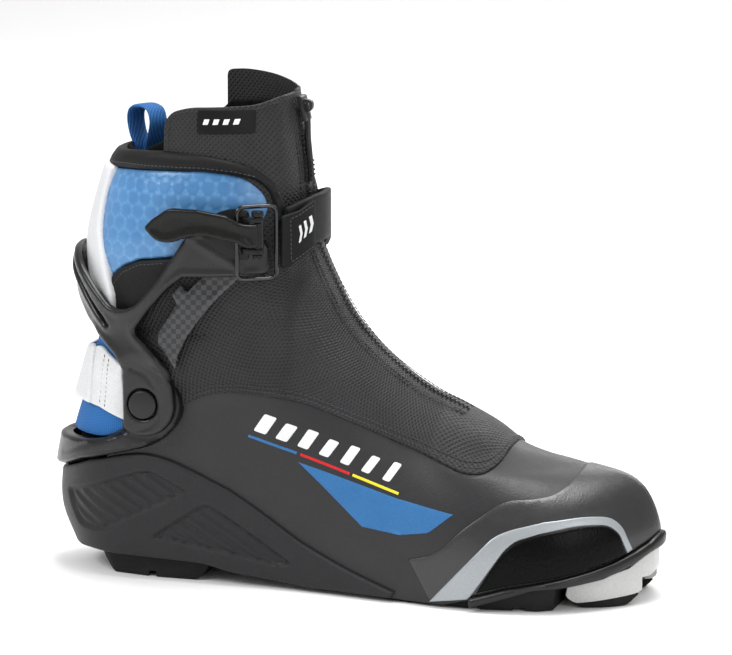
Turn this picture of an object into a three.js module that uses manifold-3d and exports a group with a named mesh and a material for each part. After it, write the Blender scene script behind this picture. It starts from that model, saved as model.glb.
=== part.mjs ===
// Skating boot for cross-country skiing, right foot, about EU 42.
// Millimetres. +X points to the toe, +Y to the inner (medial) side, +Z up.
// The origin lies on the ground, under the ankle hinge, in the middle of the heel tread.
import * as THREE from 'three';
import { mergeVertices } from 'three/addons/utils/BufferGeometryUtils.js';
import Module from 'manifold-3d';

const wasm = await Module();
wasm.setup();

// ---------------------------------------------------------------- driving dimensions

const HINGE_Z = 87;
const CUFF_FORWARD = 14;
const CUFF_BACKWARD = 6;
const GAP = 0.35;

const SHELL_THICKNESS = 2.2;
const LINER_OUTSIDE = -2.9;
const LINER_INSIDE = -5.5;
const GAITER_THICKNESS = 1.5;
const FRAME_THICKNESS = 3;

const EYE_RADIUS = 15.8;
const CAP_RADIUS = 6.9;
const PIN_RADIUS = 3.5;
const BOSS_RADIUS = 17.2;

const STRAP_THICKNESS = 2.4;
const STRAP_LOW_Z = 153;
const STRAP_HIGH_Z = 187.5;

const LEVER_PIN_RADIUS = 1.5;
const LEVER_THICKNESS = 2.2;
const WIRE_RADIUS = 1.1;

const ZIP_HALF_WIDTH = 3.2;
const TOE_BAR = { x: 231, z: 6.2, radius: 1.7 };

// Side-view profiles of the boot, [x, z]: the instep and toe line, and the heel line.
const FRONT_LINE = [
  [60.7, 243], [67, 205], [70, 175], [79, 150], [92, 127], [108, 109], [129, 94], [146, 86],
  [161, 78], [171, 72], [179, 68.5], [192, 65], [204, 62.2], [211, 61.2], [220, 60], [228, 58],
  [234, 54], [238, 48.5], [241, 41.5], [242.5, 35.5], [242.5, 30], [240, 14], [236, -1],
];
const HEEL_LINE = [
  [-22, 243], [-23, 205], [-27, 175], [-32, 140], [-34, 115], [-42, 88], [-49, 66], [-53, 45],
  [-53, 28], [-46, 12], [-40, -1],
];
const CUFF_HEEL_LINE = [
  [-22, 243], [-25, 207], [-30, 197], [-36.5, 176], [-39.5, 160], [-38.5, 140], [-37.5, 118],
  [-46, 88], [-52, 66], [-56, 45], [-56, 28], [-49, 12], [-43, -1],
];
const FRAME_HEEL_LINE = [
  [-30, 243], [-34, 205], [-40, 172], [-43, 158], [-45, 148], [-43, 138], [-40, 128], [-38, 118],
  [-47, 88], [-53, 66], [-57, 45], [-57, 28], [-50, 12], [-44, -1],
];

// Half widths of the foot along x on either side, and of the leg along z.
const LATERAL_HALF_WIDTH = [
  [-57, 24], [-53, 26], [-26, 35], [24, 36], [74, 37], [124, 45], [159, 50], [194, 47],
  [219, 39], [244, 24],
];
const MEDIAL_HALF_WIDTH = [
  [-57, 24], [-53, 26], [-26, 33], [24, 32], [74, 34], [124, 41], [169, 49], [199, 49],
  [222, 43], [244, 28],
];
const LEG_HALF_WIDTH = [[34, 0], [36, 60], [38, 110], [40, 140], [40, 170], [38.5, 200], [36.7, 243]];

// Heights at which the forms are sliced, closer where the toe box is nearly flat.
const LEVELS = [
  -1, 9, 18, 27, 36, 44, 51, 56, 60, 64, 68.5, 74, 81, 90, 102, 116, 132, 150, 170, 190, 210, 243,
];
const HALF_RING = 12;

// ---------------------------------------------------------------- curves and outlines

const SIDE_SIGN = { lateral: -1, medial: 1 };
const degrees = (angle) => THREE.MathUtils.degToRad(angle);

// A smooth curve through [a, b] points, returned as sampled points.
function smooth(points, samples = 240) {
  return new THREE.SplineCurve(points.map(([a, b]) => new THREE.Vector2(a, b))).getPoints(samples);
}

// The other coordinate of a sampled curve, where coordinate `from` has the given value.
function lookup(curve, from, value) {
  const to = from === 'x' ? 'y' : 'x';
  for (let i = 1; i < curve.length; i++) {
    const a = curve[i - 1];
    const b = curve[i];
    const low = Math.min(a[from], b[from]);
    const high = Math.max(a[from], b[from]);
    if (value >= low && value <= high && high > low) {
      return THREE.MathUtils.mapLinear(value, a[from], b[from], a[to], b[to]);
    }
  }
  const first = curve[0];
  const last = curve[curve.length - 1];
  return Math.abs(value - first[from]) < Math.abs(value - last[from]) ? first[to] : last[to];
}

// A closed outline from [a, b, radius] corners; a corner with a radius is rounded.
function outline(corners) {
  const shape = new THREE.Shape();
  corners.forEach(([a, b, radius = 0], i) => {
    const here = new THREE.Vector2(a, b);
    const [pa, pb] = corners[(i + corners.length - 1) % corners.length];
    const [na, nb] = corners[(i + 1) % corners.length];
    const back = new THREE.Vector2(pa, pb).sub(here);
    const ahead = new THREE.Vector2(na, nb).sub(here);
    const reach = Math.min(radius, 0.48 * back.length(), 0.48 * ahead.length());
    const start = here.clone().addScaledVector(back.normalize(), reach);
    const end = here.clone().addScaledVector(ahead.normalize(), reach);
    if (i === 0) {
      shape.moveTo(start.x, start.y);
    } else {
      shape.lineTo(start.x, start.y);
    }
    if (reach > 0) {
      shape.quadraticCurveTo(a, b, end.x, end.y);
    }
  });
  shape.closePath();
  return shape;
}

// ---------------------------------------------------------------- solids and booleans

function toSolid(geometry) {
  const bare = geometry.index ? geometry.toNonIndexed() : geometry.clone();
  bare.deleteAttribute('normal');
  bare.deleteAttribute('uv');
  const merged = mergeVertices(bare, 1e-4);
  return new wasm.Manifold(new wasm.Mesh({
    numProp: 3,
    vertProperties: new Float32Array(merged.attributes.position.array),
    triVerts: new Uint32Array(merged.index.array),
  }));
}

function toGeometry(solid) {
  const { vertProperties, triVerts } = solid.getMesh();
  const geometry = new THREE.BufferGeometry();
  geometry.setAttribute('position', new THREE.BufferAttribute(new Float32Array(vertProperties), 3));
  geometry.setIndex(new THREE.BufferAttribute(new Uint32Array(triVerts), 1));
  geometry.computeVertexNormals();
  return geometry;
}

// A side-view outline in x and z, extruded across the boot from y = from to y = to.
function sidePrism(shape, from = -90, to = 90, curveSegments = 3) {
  const geometry = new THREE.ExtrudeGeometry(shape, {
    depth: to - from, bevelEnabled: false, curveSegments,
  });
  geometry.rotateX(Math.PI / 2);
  geometry.translate(0, to, 0);
  return toSolid(geometry);
}

// A top-view outline in x and y, extruded upwards from z = from to z = to.
function topPrism(shape, from, to, curveSegments = 4) {
  const geometry = new THREE.ExtrudeGeometry(shape, {
    depth: to - from, bevelEnabled: false, curveSegments,
  });
  geometry.translate(0, 0, from);
  return toSolid(geometry);
}

function onSide(side, shape) {
  return side === 'lateral' ? sidePrism(shape, -90, -0.4) : sidePrism(shape, 0.4, 90);
}

function box(x0, x1, y0, y1, z0, z1) {
  const geometry = new THREE.BoxGeometry(x1 - x0, y1 - y0, z1 - z0);
  geometry.translate((x0 + x1) / 2, (y0 + y1) / 2, (z0 + z1) / 2);
  return toSolid(geometry);
}

// A cylinder along y, from y0 to y1.
function crossPin(x, z, radius, y0, y1, segments = 24) {
  const geometry = new THREE.CylinderGeometry(radius, radius, Math.abs(y1 - y0), segments);
  geometry.translate(x, (y0 + y1) / 2, z);
  return toSolid(geometry);
}

// An upright cylinder along z.
function uprightPin(x, y, radius, z0, z1, segments = 14) {
  const geometry = new THREE.CylinderGeometry(radius, radius, z1 - z0, segments);
  geometry.rotateX(Math.PI / 2);
  geometry.translate(x, y, (z0 + z1) / 2);
  return toSolid(geometry);
}

// A wall of constant thickness that stands along a top-view curve of [x, y] points.
function standingWall(points, thickness, from, to, samples) {
  const curve = new THREE.SplineCurve(points.map(([x, y]) => new THREE.Vector2(x, y)));
  const near = [];
  const far = [];
  for (let i = 0; i <= samples; i++) {
    const here = curve.getPoint(i / samples);
    const along = curve.getTangent(i / samples);
    const across = new THREE.Vector2(-along.y, along.x).multiplyScalar(thickness / 2);
    near.push(here.clone().add(across));
    far.unshift(here.clone().sub(across));
  }
  return topPrism(new THREE.Shape([...near, ...far]), from, to);
}

// ---------------------------------------------------------------- the boot's forms

const frontLine = smooth(FRONT_LINE);
const lateralHalfWidth = smooth(LATERAL_HALF_WIDTH);
const medialHalfWidth = smooth(MEDIAL_HALF_WIDTH);
const legHalfWidth = smooth(LEG_HALF_WIDTH);

// Half width of a form at x, z: a blend of the foot's arched section and the leg's ellipse.
function halfWidth(form, x, z, side) {
  const FLOOR_Z = 14;
  const HEEL_ROUNDING = 34;
  const TOE_ROUNDING = 52;
  const BLEND = 7;
  const heelX = lookup(form.heelLine, 'y', z);
  const toeX = lookup(frontLine, 'y', z) + form.extra;
  const foot = lookup(side < 0 ? lateralHalfWidth : medialHalfWidth, 'x', x) + form.extra;
  const topZ = Math.max(lookup(frontLine, 'x', Math.min(x - form.extra, 242)), z + 0.01);
  const rise = THREE.MathUtils.clamp((z - FLOOR_Z) / Math.max(topZ - FLOOR_Z, 1), 0, 1);
  const arch = (1 - rise ** 2.6) ** (1 / 2.1);
  const heel = THREE.MathUtils.clamp((heelX + HEEL_ROUNDING - x) / HEEL_ROUNDING, 0, 1);
  const toe = THREE.MathUtils.clamp((x - toeX + TOE_ROUNDING) / TOE_ROUNDING, 0, 1);
  const toeShare = THREE.MathUtils.smoothstep(80 - z, 0, 24);
  const toeFactor = 1 - toeShare * (1 - Math.sqrt(1 - toe ** 2.3));
  const footWidth = foot * arch * Math.sqrt(1 - heel ** 2) * toeFactor;

  const legHalfLength = Math.min((toeX - heelX) / 2, form.legHalfLength);
  const legX = (x - heelX - legHalfLength) / legHalfLength;
  const legShare = THREE.MathUtils.clamp((z - 40) / 60, 0, 1);
  const legWide = (lookup(legHalfWidth, 'y', z) + form.extra) * legShare;
  const legWidth = legWide * Math.sqrt(Math.max(1 - legX ** 2, 0));
  return (footWidth ** BLEND + legWidth ** BLEND) ** (1 / BLEND);
}

// Closed rings of points with outward normals, one for each level, starting at the heel's
// centre line and running forwards along the lateral side.
function makeForm({ heelLine, extra, legHalfLength }) {
  const form = { heelLine: smooth(heelLine), extra, legHalfLength };
  form.rings = LEVELS.map((z) => {
    const heelX = lookup(form.heelLine, 'y', z);
    const toeX = lookup(frontLine, 'y', z) + extra;
    return Array.from({ length: 2 * HALF_RING }, (_, k) => {
      const x = heelX + (toeX - heelX) * (1 - Math.cos((Math.PI * k) / HALF_RING)) / 2;
      const side = k <= HALF_RING ? -1 : 1;
      const centre = k % HALF_RING === 0;
      return new THREE.Vector3(x, centre ? 0 : side * halfWidth(form, x, z, side), z);
    });
  });
  form.normals = form.rings.map((ring, i) => ring.map((_, k) => {
    const above = form.rings[Math.min(i + 1, LEVELS.length - 1)][k];
    const below = form.rings[Math.max(i - 1, 0)][k];
    const next = ring[(k + 1) % ring.length];
    const last = ring[(k + ring.length - 1) % ring.length];
    return next.clone().sub(last).cross(above.clone().sub(below)).normalize();
  }));
  return form;
}

const bodyForm = makeForm({ heelLine: HEEL_LINE, extra: 0, legHalfLength: 52 });
const cuffForm = makeForm({ heelLine: CUFF_HEEL_LINE, extra: 3.2, legHalfLength: 56 });
const frameForm = makeForm({ heelLine: FRAME_HEEL_LINE, extra: 5, legHalfLength: 58 });

function offsetRings(form, distance) {
  return form.rings.map((ring, i) => ring.map((point, k) => {
    const moved = point.clone().addScaledVector(form.normals[i][k], distance);
    const isEnd = i === 0 || i === form.rings.length - 1;
    return isEnd ? moved.setZ(point.z) : moved;
  }));
}

// A closed solid between an outer and an inner stack of rings; without an inner one it is full.
function ringSolid(outer, inner) {
  const positions = [];
  const triangle = (a, b, c) => positions.push(...a.toArray(), ...b.toArray(), ...c.toArray());
  const quad = (a, b, c, d) => {
    triangle(a, b, c);
    triangle(a, c, d);
  };
  const count = outer[0].length;
  const top = outer.length - 1;
  for (let k = 0; k < count; k++) {
    const n = (k + 1) % count;
    for (let i = 0; i < top; i++) {
      quad(outer[i][k], outer[i][n], outer[i + 1][n], outer[i + 1][k]);
      if (inner) {
        quad(inner[i][k], inner[i + 1][k], inner[i + 1][n], inner[i][n]);
      }
    }
    if (inner) {
      quad(outer[top][k], outer[top][n], inner[top][n], inner[top][k]);
      quad(inner[0][k], inner[0][n], outer[0][n], outer[0][k]);
    } else {
      const low = new THREE.Vector3(outer[0][0].x + 60, 0, outer[0][0].z);
      const high = new THREE.Vector3(outer[top][0].x + 40, 0, outer[top][0].z);
      triangle(outer[top][k], outer[top][n], high);
      triangle(outer[0][n], outer[0][k], low);
    }
  }
  const geometry = new THREE.BufferGeometry();
  geometry.setAttribute('position', new THREE.Float32BufferAttribute(positions, 3));
  return toSolid(geometry);
}

// The skin of a form between two distances from its surface.
function layer(form, inner, outer) {
  return ringSolid(offsetRings(form, outer), offsetRings(form, inner));
}

// The whole form up to a distance from its surface.
function block(form, distance) {
  return ringSolid(offsetRings(form, distance));
}

// The y of the plane in which each of the cuff's two eyes slides on the heel yoke.
const EYE_FACE = { lateral: -41.2, medial: 40.6 };

// ---------------------------------------------------------------- shared outlines

const FAR = 400;

// A point at a distance from the hinge, in a direction given in degrees above +X.
function fromHinge(angle, distance = FAR) {
  return [distance * Math.cos(degrees(angle)), HINGE_Z + distance * Math.sin(degrees(angle))];
}

// The ankle is open between these two pairs of rays, so that the cuff can lean both ways.
const ANKLE_FRONT = 11;
const ANKLE_BACK = 165.5;
const ANKLE_PLAY = 2;

function belowAnkle() {
  return sidePrism(outline([
    [0, HINGE_Z], fromHinge(ANKLE_BACK), [-FAR, -FAR], [FAR, -FAR], fromHinge(ANKLE_FRONT),
  ]));
}

function aboveAnkle() {
  const front = ANKLE_FRONT + CUFF_FORWARD + ANKLE_PLAY;
  const back = ANKLE_BACK - CUFF_BACKWARD - ANKLE_PLAY;
  return sidePrism(outline([
    [0, HINGE_Z], fromHinge(front), [FAR, FAR], [-FAR, FAR], fromHinge(back),
  ])).subtract(crossPin(0, HINGE_Z, 8, -90, 90));
}

// The lower edge of the zipped gaiter on the shell, from the heel to the toe.
const GAITER_EDGE = [
  [-60, 69], [-22, 71], [0, 76], [14, 83], [24, 90, 6], [34, 93.3], [46, 94, 8], [65, 92.5],
  [78, 90.5, 10], [136, 70.5], [157, 62.3, 4], [166, 61.8, 4], [171, 65, 4], [172.5, 90],
];

function aboveGaiterEdge() {
  return sidePrism(outline([...GAITER_EDGE, [172.5, FAR], [-60, FAR]]));
}

function belowGaiterEdge() {
  const lowered = GAITER_EDGE.map(([x, z, radius]) => [x + GAP, z - GAP, radius]);
  return sidePrism(outline([
    ...lowered, [173, FAR], [FAR, FAR], [FAR, -FAR], [-FAR, -FAR], [-FAR, 68.6],
  ]));
}

// The upper face of the sole, [x, z] from heel to toe.
const SOLE_TOP = [
  [-56, 17], [60, 16], [125, 10.5], [160, 10], [193, 15.5], [208, 17.5], [222, 20], [233, 25],
  [241, 31.5],
];

// A slab that follows the sole's upper face between two heights above it.
function soleSlab(low, high) {
  const bottom = SOLE_TOP.map(([x, z]) => [x, z + low]);
  const top = SOLE_TOP.map(([x, z]) => [x, z + high]).reverse();
  return sidePrism(outline([...bottom, ...top]));
}

// ---------------------------------------------------------------- sole

function solePlate() {
  const underside = [
    [-50, 12.8], [31, 12.8], [38, 8], [80, 2.6], [165, 2.6], [193, 11.2], [208, 13.2], [222, 15.7],
    [233, 21], [240, 27],
  ];
  const side = outline([...underside, ...SOLE_TOP.slice(1).reverse(), [-50, 17]]);
  return block(bodyForm, -2.6).intersect(sidePrism(side));
}

function treadGroove(x0, x1, centreY, depth) {
  return box(x0, x1, centreY - 4, centreY + 4, -1, depth);
}

function heelTread() {
  const side = outline([
    [-30, 12.4], [-27, 6], [-22, 0, 2], [24, 0, 3], [28.5, 7], [30, 12.4],
  ]);
  let tread = block(bodyForm, -4).intersect(sidePrism(side));
  for (const groove of [-13, 13]) {
    tread = tread.subtract(treadGroove(-40, 40, groove, 4.5));
  }
  for (const [y0, y1] of [[-50, -18.5], [18.5, 50]]) {
    tread = tread.subtract(box(-2, 2, y0, y1, -1, 2.6));
  }
  return tread;
}

function forefootTread() {
  const side = outline([
    [112, 2.2], [114, 0.6], [124, 0], [201, 0], [202.5, 12], [193, 10.7], [165, 2.2],
  ]);
  let tread = block(bodyForm, -3.2).intersect(sidePrism(side));
  for (const groove of [-13, 13]) {
    tread = tread.subtract(treadGroove(160, 210, groove, 4.5));
  }
  for (const gapX of [162, 183]) {
    for (const [y0, y1] of [[-60, -24], [24, 60]]) {
      tread = tread.subtract(box(gapX, gapX + 6, y0, y1, -1, 1.2));
    }
  }
  return tread;
}

const TOE_SLOT_HALF_WIDTH = 13;

// The toe piece seen from above; the inner side runs a little wider than the outer one.
function toePlan(inset) {
  return outline([
    [200, -34 + inset], [222, -28.5 + inset, 8], [236 - inset, -17, 10], [242.5 - inset, -4, 8],
    [242.5 - inset, 4, 8], [237 - inset, 18, 10], [223, 31 - inset, 8], [200, 37 - inset],
  ]);
}

// The rigid toe piece that carries the bar for the binding.
function toeBlock() {
  const side = outline([
    [205.5, 5.5, 2], [210, 2.3, 2], [238, 5.6, 3], [242.6, 18, 2], [243, 25], [238.5, 22.2],
    [233, 17.8], [222, 14.2], [207, 12],
  ]);
  const slot = box(223, 260, -TOE_SLOT_HALF_WIDTH, TOE_SLOT_HALF_WIDTH, -5, 12.5);
  const { x, z, radius } = TOE_BAR;
  return topPrism(toePlan(0), -5, 40).intersect(sidePrism(side))
    .subtract(slot)
    .subtract(crossPin(x, z, radius + 0.3, -19, 19));
}

function toeBar() {
  return crossPin(TOE_BAR.x, TOE_BAR.z, TOE_BAR.radius, -18.5, 18.5, 14);
}

function toeTip() {
  const side = outline([[209, 1.9], [212, 0, 1], [232, 0, 2], [237, 5.1, 1]]);
  const mouth = box(222.6, 260, -TOE_SLOT_HALF_WIDTH - 0.4, TOE_SLOT_HALF_WIDTH + 0.4, -5, 12);
  return topPrism(toePlan(1.5), -5, 40).intersect(sidePrism(side)).subtract(mouth);
}

function toeWelt() {
  const side = outline([
    [165.5, 1.4], [193, 10.7], [208, 12.4], [222, 14.8], [233.5, 19.8], [239, 24], [252, 32],
    [252, 36.5], [243, 33.2], [239, 29], [234, 25.8], [226, 22], [217, 19.2], [205, 16.3],
    [180, 11.2], [165.5, 6.6],
  ]);
  return layer(bodyForm, GAP, 3.4).intersect(sidePrism(side));
}

// ---------------------------------------------------------------- shell of the foot

const CHASSIS_EDGE = [
  [-60, 42.5], [-50, 47, 6], [-30, 56], [-13, 60.5, 10], [-3, 61.7, 8], [9, 60, 8], [22, 55, 10],
  [41, 46.5], [57, 36.8, 10], [77, 23.5, 10], [101, 13, 10], [126, 5.2],
];

function heelChassis() {
  const side = outline([
    ...CHASSIS_EDGE, [124, 2], [80, 2], [40, 6.5, 6], [29, 9.5, 6], [-30, 12, 4], [-46, 10, 8], [-60, 20],
  ]);
  return layer(bodyForm, GAP, 2.6).intersect(sidePrism(side));
}

function upperShell() {
  const base = outline([
    [-60, 13], [30, 12], [40, 8.5], [80, 3], [118, 1.2], [150, 1.2], [165, 5], [193, 12], [208, 14],
    [222, 17], [233, 22], [240, 27], [260, 35], [260, FAR], [-60, FAR],
  ]);
  return layer(bodyForm, -SHELL_THICKNESS, 0)
    .intersect(belowGaiterEdge())
    .intersect(sidePrism(base))
    .intersect(sidePrism(outline([[-60, 0], [260, 0], [260, 82], [120, 95], [-60, 95]])));
}

const TRIM_OUTER = [
  [144, 2.5], [159.5, 19.5, 12], [174.5, 35.5, 12], [182, 38.8, 8], [197, 42.3], [214, 44, 8],
  [224, 43, 8], [229.5, 38, 6], [233.5, 26],
];
const TRIM_INNER = [
  [231.6, 26], [228.2, 35.5, 5], [223.5, 39.6, 6], [212, 40.4, 8], [196, 37.4], [185, 34, 8],
  [180, 29.6, 8], [172.5, 18.5, 12], [163.5, 5.5],
];

function toeOverlay() {
  const side = outline([
    [133, 21.5], [143, 24.2, 4], [149, 27.6, 4], [160, 38.5, 6], [177, 51.2, 8], [190, 51.8],
    [199, 53, 6], [205, 57.5, 4], [206, 70], [260, 70], [260, 37.5], [243, 34.2], [239, 30],
    [234, 26.8], [226, 23], [217, 20.2], [205, 17.3], [180, 12.2], [163, 7], [144, 3],
  ]);
  return layer(bodyForm, GAP, 0.95).intersect(sidePrism(side));
}

function toeTrim(side) {
  return layer(bodyForm, 1.3, 1.9).intersect(onSide(side, outline([...TRIM_OUTER, ...TRIM_INNER])));
}

function toeGuard(side) {
  const inset = TRIM_INNER.slice(0, -1)
    .map(([x, z, radius]) => [x < 200 ? x + 0.6 : x - 0.6, z - 0.5, radius]);
  const patch = outline([
    ...inset, [167, 8.6], [180, 12.6], [205, 17.6], [217, 20.6], [226, 23.2],
  ]);
  return layer(bodyForm, 1.3, 2.2).intersect(onSide(side, patch));
}

// ---------------------------------------------------------------- inside of the foot

function lastingBoard() {
  return block(bodyForm, -2.6).intersect(soleSlab(GAP, 1.6));
}

function footbed() {
  return block(bodyForm, LINER_INSIDE - GAP).intersect(soleSlab(2, 5.5));
}

const THROAT = { back: 70, front: 152, halfWidth: 17 };

function linerBody() {
  return layer(bodyForm, LINER_INSIDE, LINER_OUTSIDE);
}

function linerLower() {
  const aboveBoard = sidePrism(outline([
    ...SOLE_TOP.map(([x, z]) => [x, z + 2]), [260, 60], [260, FAR], [-56, FAR],
  ]));
  const throat = box(THROAT.back, THROAT.front, -THROAT.halfWidth, THROAT.halfWidth, 60, 140);
  return linerBody().intersect(aboveBoard).intersect(belowAnkle()).subtract(throat);
}

function tongue() {
  const reach = box(72, 158, -23, 23, 55, 140);
  return layer(bodyForm, -9.4, -6.8).intersect(reach).intersect(belowAnkle());
}

function instepPoint(x, y, depth) {
  const z = lookup(frontLine, 'x', x);
  return new THREE.Vector3(x - depth * 0.55, y, z - depth * 0.83);
}

function laceCord() {
  const CORD_RADIUS = 1;
  const REACH = 11.5;
  const ROWS = 6;
  const points = [];
  for (let i = 0; i <= ROWS; i++) {
    points.push(instepPoint(105 + i * 7.2, i % 2 ? REACH : -REACH, 4.6));
  }
  const section = new THREE.Shape().absarc(0, 0, CORD_RADIUS, 0, 2 * Math.PI);
  const path = new THREE.CatmullRomCurve3(points, false, 'catmullrom', 0.3);
  const tube = new THREE.ExtrudeGeometry(section, {
    steps: 20, curveSegments: 3, extrudePath: path,
  });
  return toSolid(tube);
}

function laceRail(side) {
  const s = SIDE_SIGN[side];
  const [y0, y1] = [14.4 * s, 16.6 * s].sort((a, b) => a - b);
  return layer(bodyForm, -4.9, -2.2).intersect(box(82, 149, y0, y1, 60, 140)).intersect(belowAnkle());
}

function gaiterLower() {
  const front = sidePrism(outline([[-13, 0], [FAR, 0], [FAR, FAR], [-13, FAR]]));
  return layer(bodyForm, -GAITER_THICKNESS, 0)
    .intersect(aboveGaiterEdge()).intersect(front).intersect(belowAnkle());
}

// Blue stretch fabric over the Achilles tendon.
function heelPanel() {
  const rear = sidePrism(outline([[-60, 0], [-13 - GAP, 0], [-13 - GAP, FAR], [-60, FAR]]));
  return layer(bodyForm, -GAITER_THICKNESS, 0)
    .intersect(aboveGaiterEdge()).intersect(rear).intersect(belowAnkle());
}

function zipCoil(ankle, top) {
  const strip = box(40, 160, -ZIP_HALF_WIDTH, ZIP_HALF_WIDTH, 84, top);
  return layer(bodyForm, GAP, 1.2).intersect(strip).intersect(ankle);
}

// ---------------------------------------------------------------- heel yoke and hinge

function heelYoke() {
  const limb = outline([
    [2, 71], [-10, 72.5, 8], [-24, 67, 8], [-40, 65, 8], [-52, 63, 6], [-62, 59], [-62, 46],
    [-50, 47.6, 6], [-33, 55.6], [-13, 61.8, 8], [0, 64, 8], [9, 68],
  ]);
  let yoke = layer(bodyForm, 0.6, 6.3)
    .intersect(sidePrism(limb))
    .subtract(crossPin(0, HINGE_Z, EYE_RADIUS + 0.6, -90, 90, 40));
  for (const side of ['lateral', 'medial']) {
    yoke = yoke.add(hingeBoss(side));
  }
  return yoke;
}

function hingeBoss(side) {
  const s = SIDE_SIGN[side];
  const boss = crossPin(0, HINGE_Z, BOSS_RADIUS, s * 20, EYE_FACE[side] - s * 0.4, 32);
  const hole = crossPin(0, HINGE_Z, PIN_RADIUS + 0.3, s * 10, s * 90);
  const flatBack = box(-30, -10.3, -90, 90, 60, 120);
  return boss.subtract(block(bodyForm, 1.9)).subtract(hole).subtract(flatBack);
}

function hingePin(side) {
  const s = SIDE_SIGN[side];
  const face = EYE_FACE[side];
  return crossPin(0, HINGE_Z, PIN_RADIUS, face - s * 2.6, face + s * 1)
    .add(crossPin(0, HINGE_Z, CAP_RADIUS, face + s * 0.1, face + s * 4, 28));
}

function heelStrap() {
  const side = outline([
    [-60, 104], [-44, 102], [-38, 104], [-29, 109, 4], [-24, 111, 3], [-16, 106.5], [-10.7, 103.5],
    [-10.7, 77.4], [-24, 82], [-36, 83], [-60, 80],
  ]);
  return layer(bodyForm, 1.8, 3.4).intersect(sidePrism(side));
}

// ---------------------------------------------------------------- cuff

function cuffFrame() {
  const arms = outline([
    [15.8, 87], [14.8, 98, 8], [11, 108.6, 6], [3.2, 116.4], [-3.6, 122.5, 3], [4.5, 133.3],
    [15, 145.2, 3], [22, 150.4], [50, 151], [61, 152, 3], [61.5, 165], [52, 178, 4], [34, 176, 4],
    [24, 171, 2], [16, 158.6], [7.8, 146.5, 6], [-2, 135.6, 5], [-9, 132.4, 5], [-16, 133, 4],
    [-27, 143], [-34, 150, 6], [-44, 158, 6], [-60, 161], [-60, 146], [-46, 141.5, 4],
    [-33.5, 128], [-24, 117.5], [-13, 109.5, 3], [-10.3, 103], [-10.3, 90],
  ]);
  const slot = outline([
    [-47, 152, 2], [-36, 142.5], [-30, 135.5], [-18.5, 123.2, 1.2], [-16.5, 124.4, 1.2], [-26.5, 135],
    [-34, 144], [-45, 154, 2],
  ]);
  let frame = layer(frameForm, 0, FRAME_THICKNESS)
    .intersect(sidePrism(arms))
    .subtract(sidePrism(slot))
    .subtract(box(51, 90, 0, 90, 100, 230));
  for (const side of ['lateral', 'medial']) {
    frame = frame.subtract(crossPin(0, HINGE_Z, BOSS_RADIUS + GAP, 0, SIDE_SIGN[side] * 90, 32));
    frame = frame.add(hingeEye(side));
  }
  return frame;
}

// The flat eye that turns on the hinge cap, joined to the arms by its upper sector.
function hingeEye(side) {
  const s = SIDE_SIGN[side];
  const inner = EYE_FACE[side];
  const outer = inner + s * FRAME_THICKNESS;
  const [low, high] = [inner, outer].sort((a, b) => a - b);
  const neck = sidePrism(outline([
    [15.6, 90], [14.8, 98, 6], [11, 108.6], [2, 112], [-10.3, 108], [-10.3, 90],
  ]), low, high);
  const disc = crossPin(0, HINGE_Z, EYE_RADIUS, inner, outer, 32);
  const flatLeft = box(-30, -10.3, low - 1, high + 1, 60, 120);
  return disc.add(neck).subtract(flatLeft)
    .subtract(crossPin(0, HINGE_Z, CAP_RADIUS + 0.3, s * 10, s * 90, 28));
}

function carbonStrut(side) {
  const blade = outline([
    [50, 156], [50, 152], [37, 139.5, 6], [25, 124.5, 6], [18.5, 113, 6], [17, 105],
    [12.8, 111], [8, 116.5], [8, 122], [18, 137], [15.5, 142], [20, 146], [23.5, 143],
    [31, 151], [31, 156],
  ]);
  return layer(frameForm, -2.3, -0.35).intersect(onSide(side, blade));
}

const PAD_EDGE = [
  [-60, 120], [-19, 119], [-18, 136], [-21, 146, 3], [-14, 152, 4], [-3, 156.5], [12, 158.5, 6],
];

// The padded blue shell around the heel side of the leg.
function cuffPad() {
  const side = outline([
    ...PAD_EDGE, [34, 162], [56, 172, 6], [61.5, 182, 8], [59, 190, 8], [54, 195, 8],
    [44, 198, 6], [30, 199.6], [10, 199.4], [-12, 198.6], [-25, 197.2], [-60, 196],
  ]);
  return ringSolid(offsetRings(cuffForm, -2.4), offsetRings(bodyForm, GAP)).intersect(sidePrism(side));
}

function cuffBinding() {
  const side = outline([
    [-60, 196.6], [-25, 197.8], [-12, 199.2], [10, 200], [30, 200.2], [44, 198.6, 6], [54.5, 195.6, 8],
    [59.6, 190.4, 8], [62.3, 182], [65, 173], [68, 181, 8], [64.5, 192.5, 8], [55, 201, 8],
    [44, 205.5, 8], [30, 208], [11, 209], [-11, 207.5], [-22, 206], [-60, 205],
  ]);
  return ringSolid(offsetRings(cuffForm, -1), offsetRings(bodyForm, GAP)).intersect(sidePrism(side));
}

function cuffLowerPad() {
  const top = PAD_EDGE.slice(1).map(([x, z, radius]) => [x + GAP, z - GAP, radius]);
  const side = outline([...top, [19, 158], [14, 148], [4, 136], [-4, 126], [-12, 119.5]]);
  const wall = ringSolid(offsetRings(cuffForm, -1.2), offsetRings(bodyForm, GAP));
  return wall.intersect(sidePrism(side));
}

function cuffLowerPadOn(side) {
  return cuffLowerPad().intersect(onSide(side, outline([[-60, 100], [60, 100], [60, 200], [-60, 200]])));
}

function cuffSpine() {
  const side = outline([
    [-60, 195], [-30.5, 192.5, 3], [-32.5, 181], [-32.8, 167.7, 6], [-25.8, 154, 4], [-19.5, 138],
    [-19.5, 122], [-60, 122],
  ]);
  return layer(cuffForm, -2, 0).intersect(sidePrism(side));
}

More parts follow.
